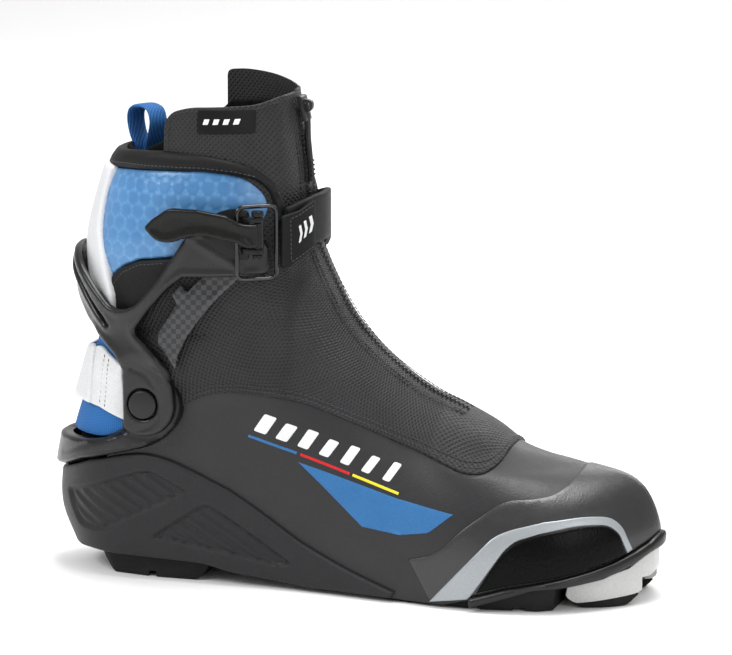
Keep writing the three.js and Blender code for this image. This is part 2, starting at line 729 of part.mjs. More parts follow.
function gaiterUpper() {
  const lateralTop = outline([
    [-60, 204], [9.5, 204], [10, 222.5, 3], [14, 227.5, 3], [23, 230], [47, 229.6, 6], [62, 234.5],
    [90, 235], [90, 260], [-60, 260],
  ]);
  const medialTop = outline([
    [-60, 204], [16, 204], [16.6, 238, 2], [26, 238.8, 3], [40, 238], [58, 235], [90, 235],
    [90, 260], [-60, 260],
  ]);
  return layer(bodyForm, -GAITER_THICKNESS, 0)
    .intersect(aboveAnkle())
    .subtract(sidePrism(lateralTop, -90, 0))
    .subtract(sidePrism(medialTop, 0, 90));
}

function collarLabel() {
  const side = outline([[26.5, 217.6, 1], [51.5, 217.6, 1], [51.3, 228.8], [26.6, 229]]);
  return layer(bodyForm, GAP, 0.9).intersect(onSide('lateral', side));
}

function linerUpper() {
  const top = outline([
    [-60, 206], [-8, 206], [8, 213, 6], [20, 224], [80, 228], [80, FAR], [-60, FAR],
  ]);
  return linerBody().intersect(aboveAnkle()).subtract(sidePrism(top));
}

// A loop of webbing on the back of the liner, to pull the boot on.
function pullTab() {
  const side = outline([
    [-15.4, 198], [-16, 206], [-21, 219, 4], [-21, 226, 4], [-4, 226.5, 4], [-2.4, 219, 4],
    [-6.2, 206], [-6.6, 198],
  ]);
  const hole = outline([
    [-13.4, 200], [-14, 207], [-18.6, 219.4, 3], [-18.4, 223.6, 3], [-6, 223.9, 3],
    [-5, 219.4, 3], [-8.4, 207], [-8.8, 200],
  ]);
  return sidePrism(side, -5.5, 5.5).subtract(sidePrism(hole, -6, 6));
}

// ---------------------------------------------------------------- strap and buckle

const BUCKLE_Z = 168;

// The y of a point at a distance from the frame's inner face, at the buckle's height.
function besideFrame(x, distance, side = -1) {
  const STEP = 0.5;
  const rise = halfWidth(frameForm, x + STEP, BUCKLE_Z, side)
    - halfWidth(frameForm, x - STEP, BUCKLE_Z, side);
  const slope = rise / (2 * STEP);
  return side * (halfWidth(frameForm, x, BUCKLE_Z, side) + distance * Math.hypot(1, slope));
}

// The strap seen from above: from the inner side of the frame, round the shin, to the buckle.
const strapPath = [
  ...[34, 44, 54].map((x) => [x, besideFrame(x, 4.9, 1)]),
  [65.5, 33], [73.5, 19], [77.2, 0], [75, -16.5], [71.6, -26], [68.6, -31],
];

function ankleStrap() {
  const side = outline([
    [20, STRAP_LOW_Z], [60, STRAP_LOW_Z - 1], [70, 156], [76, 163.5], [90, 164.5],
    [90, STRAP_HIGH_Z + 1], [74, 186.5], [62, 180], [20, 179],
  ]);
  return standingWall(strapPath, STRAP_THICKNESS, 148, 192, 20).intersect(sidePrism(side));
}

function strapRivet() {
  const RIVET_X = 41;
  const face = besideFrame(RIVET_X, 7.5, 1);
  return crossPin(RIVET_X, 166, 4, face, face + 1.8, 18);
}

// The end of the strap that the ring pulls; it lies on the strap and slides over it.
function strapTab() {
  const path = [[68.2, -35], [72.4, -30.4], [76.1, -24.8], [78.3, -19.2]];
  const side = outline([[60, 154.5], [70, 155.5], [90, 163], [90, 184.5], [74, 181.6], [60, 180]]);
  return standingWall(path, 1.6, 148, 192, 5).intersect(sidePrism(side));
}

const LUG_HEIGHTS = [[163, 165.4], [178.2, 180.4]];

// The lever's pin stands in front of the plate, just outside the frame.
const leverPinX = 58;
const leverPinY = besideFrame(leverPinX, FRAME_THICKNESS + 4.2);

function pinHole() {
  return uprightPin(leverPinX, leverPinY, LEVER_PIN_RADIUS + 0.3, 100, 220);
}

// The plate on the cuff frame, with two lugs that hold the lever's pin.
function buckleBase() {
  const side = outline([
    [29, 172.5, 3], [44, 161, 3], [53, 159, 2], [53, 183, 3], [45, 184, 3], [36, 181, 4],
  ]);
  const [x, y] = [leverPinX, leverPinY];
  const lugPlan = outline([
    [x - 9, besideFrame(x - 9, 4.7)], [x - 5, y - 2.8], [x + 1, y - 2.8, 2.4], [x + 3, y, 2],
    [x + 2, y + 2.2, 2], [x - 3, y + 1], [x - 9, besideFrame(x - 9, 3.5)],
  ]);
  let base = layer(frameForm, FRAME_THICKNESS + GAP, FRAME_THICKNESS + 1.8)
    .intersect(onSide('lateral', side));
  for (const [low, high] of LUG_HEIGHTS) {
    base = base.add(topPrism(lugPlan, low, high));
  }
  return base.subtract(pinHole());
}

function leverPin() {
  return uprightPin(leverPinX, leverPinY, LEVER_PIN_RADIUS, 161.5, 182)
    .add(uprightPin(leverPinX, leverPinY, 2.9, 180.8, 183.4))
    .add(uprightPin(leverPinX, leverPinY, 2.3, 160.8, 162.6));
}

// The lever seen from above: distances from the frame's inner face, from the pin to the tip.
const leverPath = [
  [59, 9.3], [54, 10], [49, 10], [42, 9.2], [32, 8.2], [18, 6.8], [3.6, 5.6],
].map(([x, distance]) => [x, besideFrame(x, distance)]);

function buckleLever() {
  const blade = outline([
    [3.8, 173.8, 2], [8, 178, 2], [17, 184, 3], [31, 184], [45, 181.6], [52, 177.6, 4], [64, 177.6],
    [64, 166], [54, 166, 4], [49, 169], [36, 171.4], [27, 171.4, 4], [18, 167.6, 5], [10, 168, 4],
  ]);
  const knuckle = uprightPin(leverPinX, leverPinY, 3.1, 165.9, 177.7, 18);
  return standingWall(leverPath, LEVER_THICKNESS, 150, 200, 14)
    .intersect(sidePrism(blade))
    .add(knuckle)
    .subtract(pinHole());
}

const RING = {
  rear: [48.8, besideFrame(48.8, 6.7)], front: [65, besideFrame(65, 2.2)], low: 150.5, high: 185.2,
};

// A closed rectangle of wire between the lever and the strap.
function buckleRing() {
  const { rear, front, low, high } = RING;
  const width = Math.hypot(front[0] - rear[0], front[1] - rear[1]);
  const height = high - low;
  const frameOutline = (inset) => {
    const r = 4 - inset;
    return outline([
      [inset, inset, r], [width - inset, inset, r], [width - inset, height - inset, r],
      [inset, height - inset, r],
    ]);
  };
  const shape = frameOutline(-WIRE_RADIUS);
  shape.holes.push(frameOutline(WIRE_RADIUS));
  const geometry = new THREE.ExtrudeGeometry(shape, {
    depth: 0.9,
    bevelEnabled: true,
    bevelThickness: 0.65,
    bevelSize: 0.6,
    bevelOffset: -0.6,
    bevelSegments: 1,
    curveSegments: 4,
  });
  geometry.translate(0, 0, -0.45);
  geometry.rotateX(Math.PI / 2);
  geometry.rotateZ(Math.atan2(front[1] - rear[1], front[0] - rear[0]));
  geometry.translate(rear[0], rear[1], low);
  return toSolid(geometry);
}

// ---------------------------------------------------------------- zip slider

function zipSlider() {
  const body = outline([
    [64.6, 232.5, 1], [67.1, 232.5, 1], [69.9, 220.5, 1], [67.5, 220.5, 1],
  ]);
  const bridge = outline([
    [66.4, 231], [71.5, 230.1, 1.5], [71.9, 226.1, 1.5], [68.4, 223.5], [68.7, 224.9], [70.3, 226.1],
    [70, 228.9], [67.1, 229.3],
  ]);
  return sidePrism(body, -4.2, 4.2).add(sidePrism(bridge, -1.4, 1.4));
}

// A soft tab that straddles the slider's bridge.
function zipPuller() {
  const blade = outline([
    [70.3, 229.5, 0.6], [72.4, 229.5, 0.6], [72.8, 212], [72.4, 192, 0.6], [70.8, 192, 0.6],
    [70.8, 221.5],
  ]);
  return sidePrism(blade, -3.2, 3.2).subtract(box(60, 90, -1.75, 1.75, 223.5, 236.5));
}

// ---------------------------------------------------------------- assembly

const FINISHES = {
  shell: { color: 0x2b2b2d, roughness: 0.55, metalness: 0 },
  overlay: { color: 0x232325, roughness: 0.42, metalness: 0 },
  gloss: { color: 0x141416, roughness: 0.2, metalness: 0 },
  rubber: { color: 0x1a1a1b, roughness: 0.85, metalness: 0 },
  chassis: { color: 0x37373a, roughness: 0.5, metalness: 0 },
  frame: { color: 0x47484b, roughness: 0.38, metalness: 0 },
  carbon: { color: 0x2e2f31, roughness: 0.3, metalness: 0.1 },
  gaiter: { color: 0x2c2c2e, roughness: 0.8, metalness: 0 },
  fleece: { color: 0x161617, roughness: 0.95, metalness: 0 },
  blue: { color: 0x2f7fcb, roughness: 0.6, metalness: 0 },
  white: { color: 0xe9eaec, roughness: 0.5, metalness: 0 },
  silver: { color: 0xc3c7cb, roughness: 0.35, metalness: 0.3 },
  board: { color: 0x8d8678, roughness: 0.9, metalness: 0 },
  steel: { color: 0x8a8d92, roughness: 0.25, metalness: 1 },
  blackSteel: { color: 0x222326, roughness: 0.3, metalness: 0.8 },
};

const materials = Object.fromEntries(
  Object.entries(FINISHES).map(([name, look]) => [name, new THREE.MeshStandardMaterial(look)]),
);

function piece(name, finish, solid) {
  const mesh = new THREE.Mesh(toGeometry(solid), materials[finish]);
  mesh.name = name;
  return mesh;
}

function group(...pieces) {
  return new THREE.Group().add(...pieces);
}

const sole = group(
  piece('sole_plate', 'rubber', solePlate()),
  piece('heel_tread', 'rubber', heelTread()),
  piece('forefoot_tread', 'rubber', forefootTread()),
  piece('toe_block', 'white', toeBlock()),
  piece('toe_bar', 'steel', toeBar()),
  piece('toe_tip_rubber', 'rubber', toeTip()),
  piece('toe_welt', 'rubber', toeWelt()),
);

const foot = group(
  piece('heel_chassis', 'chassis', heelChassis()),
  piece('upper_shell', 'shell', upperShell()),
  piece('toe_overlay', 'overlay', toeOverlay()),
  piece('toe_trim_lateral', 'silver', toeTrim('lateral')),
  piece('toe_trim_medial', 'silver', toeTrim('medial')),
  piece('toe_guard_lateral', 'gloss', toeGuard('lateral')),
  piece('toe_guard_medial', 'gloss', toeGuard('medial')),
  piece('lasting_board', 'board', lastingBoard()),
  piece('footbed', 'fleece', footbed()),
  piece('liner_lower', 'fleece', linerLower()),
  piece('tongue', 'fleece', tongue()),
  piece('lace_cord', 'white', laceCord()),
  piece('lace_rail_lateral', 'fleece', laceRail('lateral')),
  piece('lace_rail_medial', 'fleece', laceRail('medial')),
  piece('gaiter_lower', 'gaiter', gaiterLower()),
  piece('heel_panel', 'blue', heelPanel()),
  piece('zip_coil_lower', 'gloss', zipCoil(belowAnkle(), 130)),
  piece('heel_strap', 'white', heelStrap()),
  piece('heel_yoke', 'frame', heelYoke()),
  piece('hinge_pin_lateral', 'frame', hingePin('lateral')),
  piece('hinge_pin_medial', 'frame', hingePin('medial')),
);

const cuff = group(
  piece('cuff_frame', 'frame', cuffFrame()),
  piece('carbon_strut_lateral', 'carbon', carbonStrut('lateral')),
  piece('carbon_strut_medial', 'carbon', carbonStrut('medial')),
  piece('cuff_pad', 'blue', cuffPad()),
  piece('cuff_binding', 'fleece', cuffBinding()),
  piece('cuff_lower_pad_lateral', 'fleece', cuffLowerPadOn('lateral')),
  piece('cuff_lower_pad_medial', 'fleece', cuffLowerPadOn('medial')),
  piece('cuff_spine', 'white', cuffSpine()),
  piece('gaiter_upper', 'gaiter', gaiterUpper()),
  piece('collar_label', 'fleece', collarLabel()),
  piece('liner_upper', 'fleece', linerUpper()),
  piece('pull_tab', 'blue', pullTab()),
  piece('zip_coil_upper', 'gloss', zipCoil(aboveAnkle(), 218)),
  piece('ankle_strap', 'fleece', ankleStrap()),
  piece('strap_rivet', 'blackSteel', strapRivet()),
);

const buckle = group(
  piece('buckle_base', 'blackSteel', buckleBase()),
  piece('lever_pin', 'blackSteel', leverPin()),
  piece('buckle_lever', 'blackSteel', buckleLever()),
  piece('buckle_ring', 'steel', buckleRing()),
  piece('strap_tab', 'fleece', strapTab()),
);

const zip = group(
  piece('zip_slider', 'blackSteel', zipSlider()),
  piece('zip_puller', 'rubber', zipPuller()),
);

export default group(sole, foot, cuff, buckle, zip);
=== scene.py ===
# Skating boot for cross-country skiing, right foot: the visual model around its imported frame.
# Lengths in this script are millimetres in the boot's own frame; meshes are written in metres.
import math

import bpy
import numpy as np
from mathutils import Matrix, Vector
from mathutils.geometry import delaunay_2d_cdt


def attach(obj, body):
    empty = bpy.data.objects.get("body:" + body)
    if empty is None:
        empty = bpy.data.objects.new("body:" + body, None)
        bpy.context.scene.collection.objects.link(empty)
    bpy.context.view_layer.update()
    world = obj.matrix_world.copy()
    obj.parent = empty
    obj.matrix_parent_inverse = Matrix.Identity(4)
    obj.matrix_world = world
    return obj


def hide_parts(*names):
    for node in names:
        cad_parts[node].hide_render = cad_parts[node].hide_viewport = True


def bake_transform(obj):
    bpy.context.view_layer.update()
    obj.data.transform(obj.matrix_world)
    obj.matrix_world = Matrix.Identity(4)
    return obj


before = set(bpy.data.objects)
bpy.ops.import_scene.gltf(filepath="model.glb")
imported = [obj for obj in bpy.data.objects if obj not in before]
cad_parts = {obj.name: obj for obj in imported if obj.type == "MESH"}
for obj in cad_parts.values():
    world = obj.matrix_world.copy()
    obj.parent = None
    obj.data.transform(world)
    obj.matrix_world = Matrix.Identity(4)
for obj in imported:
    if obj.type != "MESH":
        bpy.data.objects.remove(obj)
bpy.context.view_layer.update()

MM = 0.001
TINY = 1e-9
FAR = 1e9
LATERAL = -1
MEDIAL = 1
SIDES = {"lateral": LATERAL, "medial": MEDIAL}
HINGE = (0.0, 87.0)

# ------------------------------------------------------------------ the boot's forms

# Lines of the side view, as (x, z).
FRONT_LINE = [
    (60.7, 243), (67, 205), (70, 175), (79, 150), (92, 127), (108, 109), (129, 94), (146, 86),
    (161, 78), (171, 72), (179, 68.5), (192, 65), (204, 62.2), (211, 61.2), (220, 60), (228, 58),
    (234, 54), (238, 48.5), (241, 41.5), (242.5, 35.5), (242.5, 30), (240, 14), (236, -1),
]
HEEL_LINE = [
    (-22, 243), (-23, 205), (-27, 175), (-32, 140), (-34, 115), (-42, 88), (-49, 66), (-53, 45),
    (-53, 28), (-46, 12), (-40, -1),
]
CUFF_HEEL_LINE = [
    (-22, 243), (-25, 207), (-30, 197), (-36.5, 176), (-39.5, 160), (-38.5, 140), (-37.5, 118),
    (-46, 88), (-52, 66), (-56, 45), (-56, 28), (-49, 12), (-43, -1),
]
FRAME_HEEL_LINE = [
    (-30, 243), (-34, 205), (-40, 172), (-43, 158), (-45, 148), (-43, 138), (-40, 128), (-38, 118),
    (-47, 88), (-53, 66), (-57, 45), (-57, 28), (-50, 12), (-44, -1),
]
# Half widths of the foot along x, and of the leg up z.
LATERAL_HALF_WIDTH = [
    (-57, 24), (-53, 26), (-26, 35), (24, 36), (74, 37), (124, 45), (159, 50), (194, 47),
    (219, 39), (244, 24),
]
MEDIAL_HALF_WIDTH = [
    (-57, 24), (-53, 26), (-26, 33), (24, 32), (74, 34), (124, 41), (169, 49), (199, 49),
    (222, 43), (244, 28),
]
LEG_HALF_WIDTH = [(34, 0), (36, 60), (38, 110), (40, 140), (40, 170), (38.5, 200), (36.7, 243)]
SOLE_Z = 14
HEEL_ROUNDING = 34
TOE_ROUNDING = 52
TOE_TOP_Z = (56, 80)
LEG_FADE_Z = (40, 100)


def spline(points, samples=400):
    """Sampled Catmull-Rom curve through the points."""
    p = np.array(points, float)
    p = np.vstack([p[:1], p, p[-1:]])
    t = np.linspace(0, len(points) - 1, samples)
    i = np.minimum(t.astype(int), len(points) - 2)
    w = (t - i)[:, None]
    p0, p1, p2, p3 = p[i], p[i + 1], p[i + 2], p[i + 3]
    v0 = (p2 - p0) / 2
    v1 = (p3 - p1) / 2
    cubic = 2 * p1 - 2 * p2 + v0 + v1
    square = 3 * p2 - 3 * p1 - 2 * v0 - v1
    return cubic * w**3 + square * w**2 + v0 * w + p1


def unit(vectors):
    """Each row scaled to length 1."""
    return vectors / np.maximum(np.linalg.norm(vectors, axis=-1), TINY)[..., None]


def smoothstep(low, high, value):
    t = np.clip((value - low) / (high - low), 0, 1)
    return t * t * (3 - 2 * t)


front_curve = spline(FRONT_LINE)
rising = front_curve[:np.argmax(front_curve[:, 0]) + 1]
lateral_curve = spline(LATERAL_HALF_WIDTH)
medial_curve = spline(MEDIAL_HALF_WIDTH)
leg_curve = spline(LEG_HALF_WIDTH)


def front_x(z):
    return np.interp(z, front_curve[::-1, 1], front_curve[::-1, 0])


def front_z(x):
    return np.interp(x, rising[:, 0], rising[:, 1])


class Form:
    """A boot-shaped surface: half widths over the side view, wider by extra all round."""

    def __init__(self, heel_line, extra, leg_half_length):
        self.heel_curve = spline(heel_line)[::-1]
        self.extra = extra
        self.leg_half_length = leg_half_length

    def half_width(self, x, z, side):
        """Half the boot's width at side-view places: foot and leg, smoothly joined."""
        heel_x = np.interp(z, self.heel_curve[:, 1], self.heel_curve[:, 0])
        toe_x = front_x(z) + self.extra
        outer = np.interp(x, lateral_curve[:, 0], lateral_curve[:, 1])
        inner = np.interp(x, medial_curve[:, 0], medial_curve[:, 1])
        foot = np.where(side < 0, outer, inner) + self.extra
        top_z = np.maximum(front_z(np.minimum(x - self.extra, 242)), z + 0.01)
        rise = np.clip((z - SOLE_Z) / np.maximum(top_z - SOLE_Z, 1), 0, 1)
        arch = (1 - rise**2.6) ** (1 / 2.1)
        heel = np.clip((heel_x + HEEL_ROUNDING - x) / HEEL_ROUNDING, 0, 1)
        toe = np.clip((x - toe_x + TOE_ROUNDING) / TOE_ROUNDING, 0, 1)
        toe_share = 1 - smoothstep(*TOE_TOP_Z, z)
        toe_factor = 1 - toe_share * (1 - np.sqrt(1 - toe**2.3))
        foot_width = foot * arch * np.sqrt(1 - heel**2) * toe_factor
        half_length = np.minimum((toe_x - heel_x) / 2, self.leg_half_length)
        leg_x = (x - heel_x - half_length) / half_length
        leg_share = np.clip((z - LEG_FADE_Z[0]) / (LEG_FADE_Z[1] - LEG_FADE_Z[0]), 0, 1)
        leg_wide = (np.interp(z, leg_curve[:, 1], leg_curve[:, 0]) + self.extra) * leg_share
        leg_width = leg_wide * np.sqrt(np.maximum(1 - leg_x**2, 0))
        within = (x > heel_x) & (x < toe_x)
        power = 7
        return np.where(within, (foot_width**power + leg_width**power) ** (1 / power), 0)


BODY = Form(HEEL_LINE, 0, 52)
CUFF = Form(CUFF_HEEL_LINE, 3.2, 56)
FRAME = Form(FRAME_HEEL_LINE, 5, 58)


CAST_STEP = 5.0
CAST_STEPS = 34
CAST_HALVINGS = 16


def cast(form, origins, directions):
    """Where rays from inside the form leave it."""
    def inside(distance):
        p = origins + directions * distance[:, None]
        width = form.half_width(p[:, 0], p[:, 2], np.sign(p[:, 1]))
        return width > np.abs(p[:, 1]) + 1e-4

    count = len(origins)
    near = np.zeros(count)
    found = np.zeros(count, bool)
    for _ in range(CAST_STEPS):
        ahead = inside(near + CAST_STEP)
        found |= ~ahead
        near = np.where(found, near, near + CAST_STEP)
        if found.all():
            break
    low, high = near.copy(), near + CAST_STEP
    for _ in range(CAST_HALVINGS):
        middle = (low + high) / 2
        is_in = inside(middle)
        low = np.where(is_in, middle, low)
        high = np.where(is_in, high, middle)
    return origins + directions * low[:, None]


# ------------------------------------------------------------------ unrolling the surface


class Unrolled:
    """A form with flat places (u, v) on it: surface() rolls them up, flat() unrolls points."""
    RADIUS = 45.0

    def __init__(self, form):
        self.form = form


class LegMap(Unrolled):
    """The leg and heel unrolled round an upright axis: u runs round from the heel, v is z."""
    AXIS_X = 15.0

    def surface(self, uv):
        turn = uv[:, 0] / self.RADIUS
        origins = np.column_stack([np.full(len(uv), self.AXIS_X), np.zeros(len(uv)), uv[:, 1]])
        directions = np.column_stack([-np.cos(turn), np.sin(turn), np.zeros(len(uv))])
        return cast(self.form, origins, directions)

    def flat(self, p):
        turn = np.arctan2(np.abs(p[:, 1]), self.AXIS_X - p[:, 0]) * np.where(p[:, 1] < 0, -1, 1)
        return np.column_stack([turn * self.RADIUS, p[:, 2]])


class StadiumMap(Unrolled):
    """The lower boot's walls unrolled: round the heel, then straight along each side."""
    START_X = 5.0

    def surface(self, uv):
        quarter = self.RADIUS * math.pi / 2
        side = np.sign(uv[:, 0])
        beyond = np.maximum(np.abs(uv[:, 0]) - quarter, 0)
        turn = np.minimum(np.abs(uv[:, 0]), quarter) / self.RADIUS
        origins = np.column_stack([self.START_X + beyond, np.zeros(len(uv)), uv[:, 1]])
        directions = np.column_stack([-np.cos(turn), side * np.sin(turn), np.zeros(len(uv))])
        return cast(self.form, origins, directions)

    def flat(self, p):
        side = np.where(p[:, 1] < 0, -1, 1)
        turn = np.arctan2(np.abs(p[:, 1]), np.maximum(self.START_X - p[:, 0], 0))
        beyond = np.maximum(p[:, 0] - self.START_X, 0)
        return np.column_stack([side * (turn * self.RADIUS + beyond), p[:, 2]])


class SockMap(Unrolled):
    """The boot unrolled from its front, down the shin, round the instep and over the toe.

    v runs down the leg, through a bend and along the foot; u runs round from the front line."""
    LEG_X = 15.0
    FOOT_Z = 35.0
    BEND = 125.0
    TOE_X = 190.0

    def __init__(self, form):
        super().__init__(form)
        self.pivot = (self.LEG_X + self.BEND, self.FOOT_Z + self.BEND)
        self.bend_end = self.BEND * math.pi / 2
        self.toe_start = self.bend_end + self.TOE_X - self.pivot[0]

    def surface(self, uv):
        u, v = uv[:, 0], uv[:, 1]
        gamma = np.clip(v / self.BEND, 0, math.pi / 2)
        front = np.column_stack([np.cos(gamma), np.zeros(len(uv)), np.sin(gamma)])
        pivot = np.array([self.pivot[0], 0, self.pivot[1]])
        origins = pivot - self.BEND * front
        origins[:, 2] += np.maximum(-v, 0)
        origins[:, 0] += np.clip(v - self.bend_end, 0, self.toe_start - self.bend_end)
        past = np.maximum(v - self.toe_start, 0)
        reach = np.hypot(past, u)
        turn = np.where(past > 0, reach, np.abs(u)) / self.RADIUS
        azimuth = np.arctan2(u, past)
        sideways = np.where(past > 0, np.sin(azimuth), np.sign(u))
        forwards = np.where(past > 0, np.cos(azimuth), 0)
        directions = front * np.cos(turn)[:, None]
        directions[:, 1] += np.sin(turn) * sideways
        directions[:, 0] += np.sin(turn) * forwards
        return cast(self.form, origins, directions)

    def flat(self, p):
        x, y, z = p.T
        side = np.where(y < 0, -1, 1)
        px, pz = self.pivot
        leg = (z > pz) & (x < px)
        toe = x > self.TOE_X
        foot = (x >= px) & ~toe
        gamma = np.arctan2(np.maximum(pz - z, 0), np.maximum(px - x, 1e-6))
        bend_turn = np.arctan2(np.abs(y), self.BEND - np.hypot(px - x, pz - z))
        leg_turn = np.arctan2(np.abs(y), x - self.LEG_X)
        foot_turn = np.arctan2(np.abs(y), z - self.FOOT_Z)
        v = np.where(leg, pz - z, np.where(foot, self.bend_end + x - px, self.BEND * gamma))
        turn = np.where(leg, leg_turn, np.where(foot, foot_turn, bend_turn))
        u = side * turn * self.RADIUS
        azimuth = np.arctan2(y, np.maximum(x - self.TOE_X, TINY))
        reach = self.RADIUS * np.arctan2(np.hypot(x - self.TOE_X, y), z - self.FOOT_Z)
        u = np.where(toe, reach * np.sin(azimuth), u)
        v = np.where(toe, self.toe_start + reach * np.cos(azimuth), v)
        return np.column_stack([u, v])


LEG = LegMap(BODY)
LEG_CUFF = LegMap(CUFF)
LEG_FRAME = LegMap(FRAME)
WALLS = StadiumMap(BODY)
SOCK = SockMap(BODY)


def on_side(form, line, side):
    """Side-view points carried sideways onto a form."""
    line = np.array(line, float)
    width = form.half_width(line[:, 0], line[:, 1], np.full(len(line), side))
    return np.column_stack([line[:, 0], side * width, line[:, 1]])


def rounded(corners, closed=True, step=1.0):
    """Dense points along [x, z, radius] corners, rounded where a radius is given."""
    count = len(corners)
    pts = []
    for i, corner in enumerate(corners):
        here = np.array(corner[:2], float)
        radius = corner[2] if len(corner) > 2 else 0
        inner = closed or 0 < i < count - 1
        if radius and inner:
            back = np.array(corners[i - 1][:2], float) - here
            ahead = np.array(corners[(i + 1) % count][:2], float) - here
            reach = min(radius, 0.48 * np.hypot(*back), 0.48 * np.hypot(*ahead))
            start = here + back / np.hypot(*back) * reach
            end = here + ahead / np.hypot(*ahead) * reach
            for t in np.linspace(0, 1, 6):
                pts.append((1 - t) ** 2 * start + 2 * t * (1 - t) * here + t**2 * end)
        else:
            pts.append(here)
    return densify(np.array(pts), step, closed)


def densify(pts, step, closed=True):
    """The same polyline with no segment longer than step."""
    out = []
    count = len(pts) if closed else len(pts) - 1
    for i in range(count):
        a, b = pts[i], pts[(i + 1) % len(pts)]
        length = np.hypot(*(b - a)[:2]) if len(a) == 2 else np.linalg.norm(b - a)
        pieces = max(1, math.ceil(length / step))
        for k in range(pieces):
            out.append(a + (b - a) * k / pieces)
    if not closed:
        out.append(pts[-1])
    return np.array(out)


def clean_loop(uv, step):
    """A closed loop resampled so that its points are neither bunched nor far apart."""
    keep = [uv[0]]
    for point in uv[1:]:
        if np.hypot(*(point - keep[-1])) > 0.45 * step:
            keep.append(point)
    while len(keep) > 3 and np.hypot(*(keep[0] - keep[-1])) < 0.45 * step:
        keep.pop()
    return densify(np.array(keep), step)


def side_loop(place, corners, side, step=1.2):
    """An outline on one side of the boot, unrolled."""
    return clean_loop(place.flat(on_side(place.form, rounded(corners), side)), step)


def wrap_loop(place, lateral, medial=None, step=1.2):
    """An outline that starts and ends on the middle line, mirrored or with its own inner side."""
    halves = []
    for corners, side in ((lateral, LATERAL), (medial or lateral, MEDIAL)):
        line = on_side(place.form, rounded(corners, closed=False), side)
        halves.append(from_middle(place.flat(line)))
    return clean_loop(np.vstack([halves[0], halves[1][::-1]]), step)


def from_middle(line):
    """The line without the points at its ends that only run along the middle."""
    away = np.flatnonzero(np.abs(line[:, 0]) > 0.3)
    kept = line[max(away[0] - 1, 0):away[-1] + 2].copy()
    kept[[0, -1], 0] = 0
    return kept


# ------------------------------------------------------------------ meshes


def inside_loops(points, loops):
    """Whether each flat point lies within the loops, by the even-odd rule."""
    odd = np.zeros(len(points), bool)
    for loop in loops:
        nxt = np.roll(loop, -1, axis=0)
        for (x0, y0), (x1, y1) in zip(loop, nxt):
            crosses = (y0 > points[:, 1]) != (y1 > points[:, 1])
            if crosses.any():
                at = x0 + (points[:, 1] - y0) * (x1 - x0) / (y1 - y0 if y1 != y0 else TINY)
                odd ^= crosses & (points[:, 0] < at)
    return odd


def edge_distance(points, loops, batch=4000):
    """How far each flat point is from the nearest loop."""
    best = np.full(len(points), FAR)
    for loop in loops:
        a = loop
        d = np.roll(loop, -1, axis=0) - a
        length = np.maximum((d**2).sum(1), TINY)
        for start in range(0, len(points), batch):
            p = points[start:start + batch, None, :]
            t = np.clip(((p - a) * d).sum(2) / length, 0, 1)
            gap = np.sqrt(((p - a - t[..., None] * d) ** 2).sum(2)).min(1)
            best[start:start + batch] = np.minimum(best[start:start + batch], gap)
    return best


ROW_SHARE = 0.866  # row height of a grid of even triangles


def fill(loops, spacing, insets):
    """Triangles over the region between loops, with rows of points at the given insets."""
    rows = []
    for loop in loops:
        tangent = np.roll(loop, -1, axis=0) - np.roll(loop, 1, axis=0)
        normal = unit(np.column_stack([-tangent[:, 1], tangent[:, 0]]))
        probe = inside_loops(loop + normal * 0.05, loops)
        normal[~probe] *= -1
        for inset in insets:
            row = loop + normal * inset
            good = inside_loops(row, loops) & (edge_distance(row, loops) > 0.9 * inset)
            rows.append(row[good])
    lo, hi = loops[0].min(0), loops[0].max(0)
    ys = np.arange(lo[1], hi[1], spacing * ROW_SHARE)
    grid = []
    for i, y in enumerate(ys):
        xs = np.arange(lo[0] + (i % 2) * spacing / 2, hi[0], spacing)
        grid.append(np.column_stack([xs, np.full(len(xs), y)]))
    grid = np.vstack(grid)
    grid = grid[inside_loops(grid, loops)]
    grid = grid[edge_distance(grid, loops) > insets[-1] + 0.4 * spacing]
    points = np.vstack([*loops, *rows, grid])
    edges = []
    offset = 0
    for loop in loops:
        count = len(loop)
        edges += [(offset + i, offset + (i + 1) % count) for i in range(count)]
        offset += count
    verts, _, faces, *_ = delaunay_2d_cdt(
        [Vector(p) for p in points], edges, [], 0, 1e-5)
    verts = np.array([(v.x, v.y) for v in verts])
    faces = np.array([f for f in faces if len(f) == 3])
    centres = verts[faces].mean(1)
    faces = faces[inside_loops(centres, loops)]
    used = np.unique(faces)
    index = np.full(len(verts), -1)
    index[used] = np.arange(len(used))
    return verts[used], index[faces]


def vertex_normals(points, faces):
    a, b, c = points[faces[:, 0]], points[faces[:, 1]], points[faces[:, 2]]
    face_normals = np.cross(b - a, c - a)
    normals = np.zeros_like(points)
    for k in range(3):
        np.add.at(normals, faces[:, k], face_normals)
    return unit(normals)


SMOOTH_ANGLE = math.radians(48)


def add_object(name, points, faces, flat=None):
    """A smooth-shaded mesh object from millimetre points."""
    mesh = bpy.data.meshes.new(name)
    mesh.from_pydata([tuple(p) for p in np.asarray(points) * MM], [], [tuple(f) for f in faces])
    mesh.validate()
    mesh.polygons.foreach_set("use_smooth", [True] * len(mesh.polygons))
    mesh.set_sharp_from_angle(angle=SMOOTH_ANGLE)
    if flat is not None:
        attribute = mesh.attributes.new("flat", "FLOAT_VECTOR", "POINT")
        data = np.column_stack([flat, np.zeros(len(flat))]).astype(np.float32)
        attribute.data.foreach_set("vector", data.ravel())
    obj = bpy.data.objects.new(name, mesh)
    bpy.context.scene.collection.objects.link(obj)
    return obj


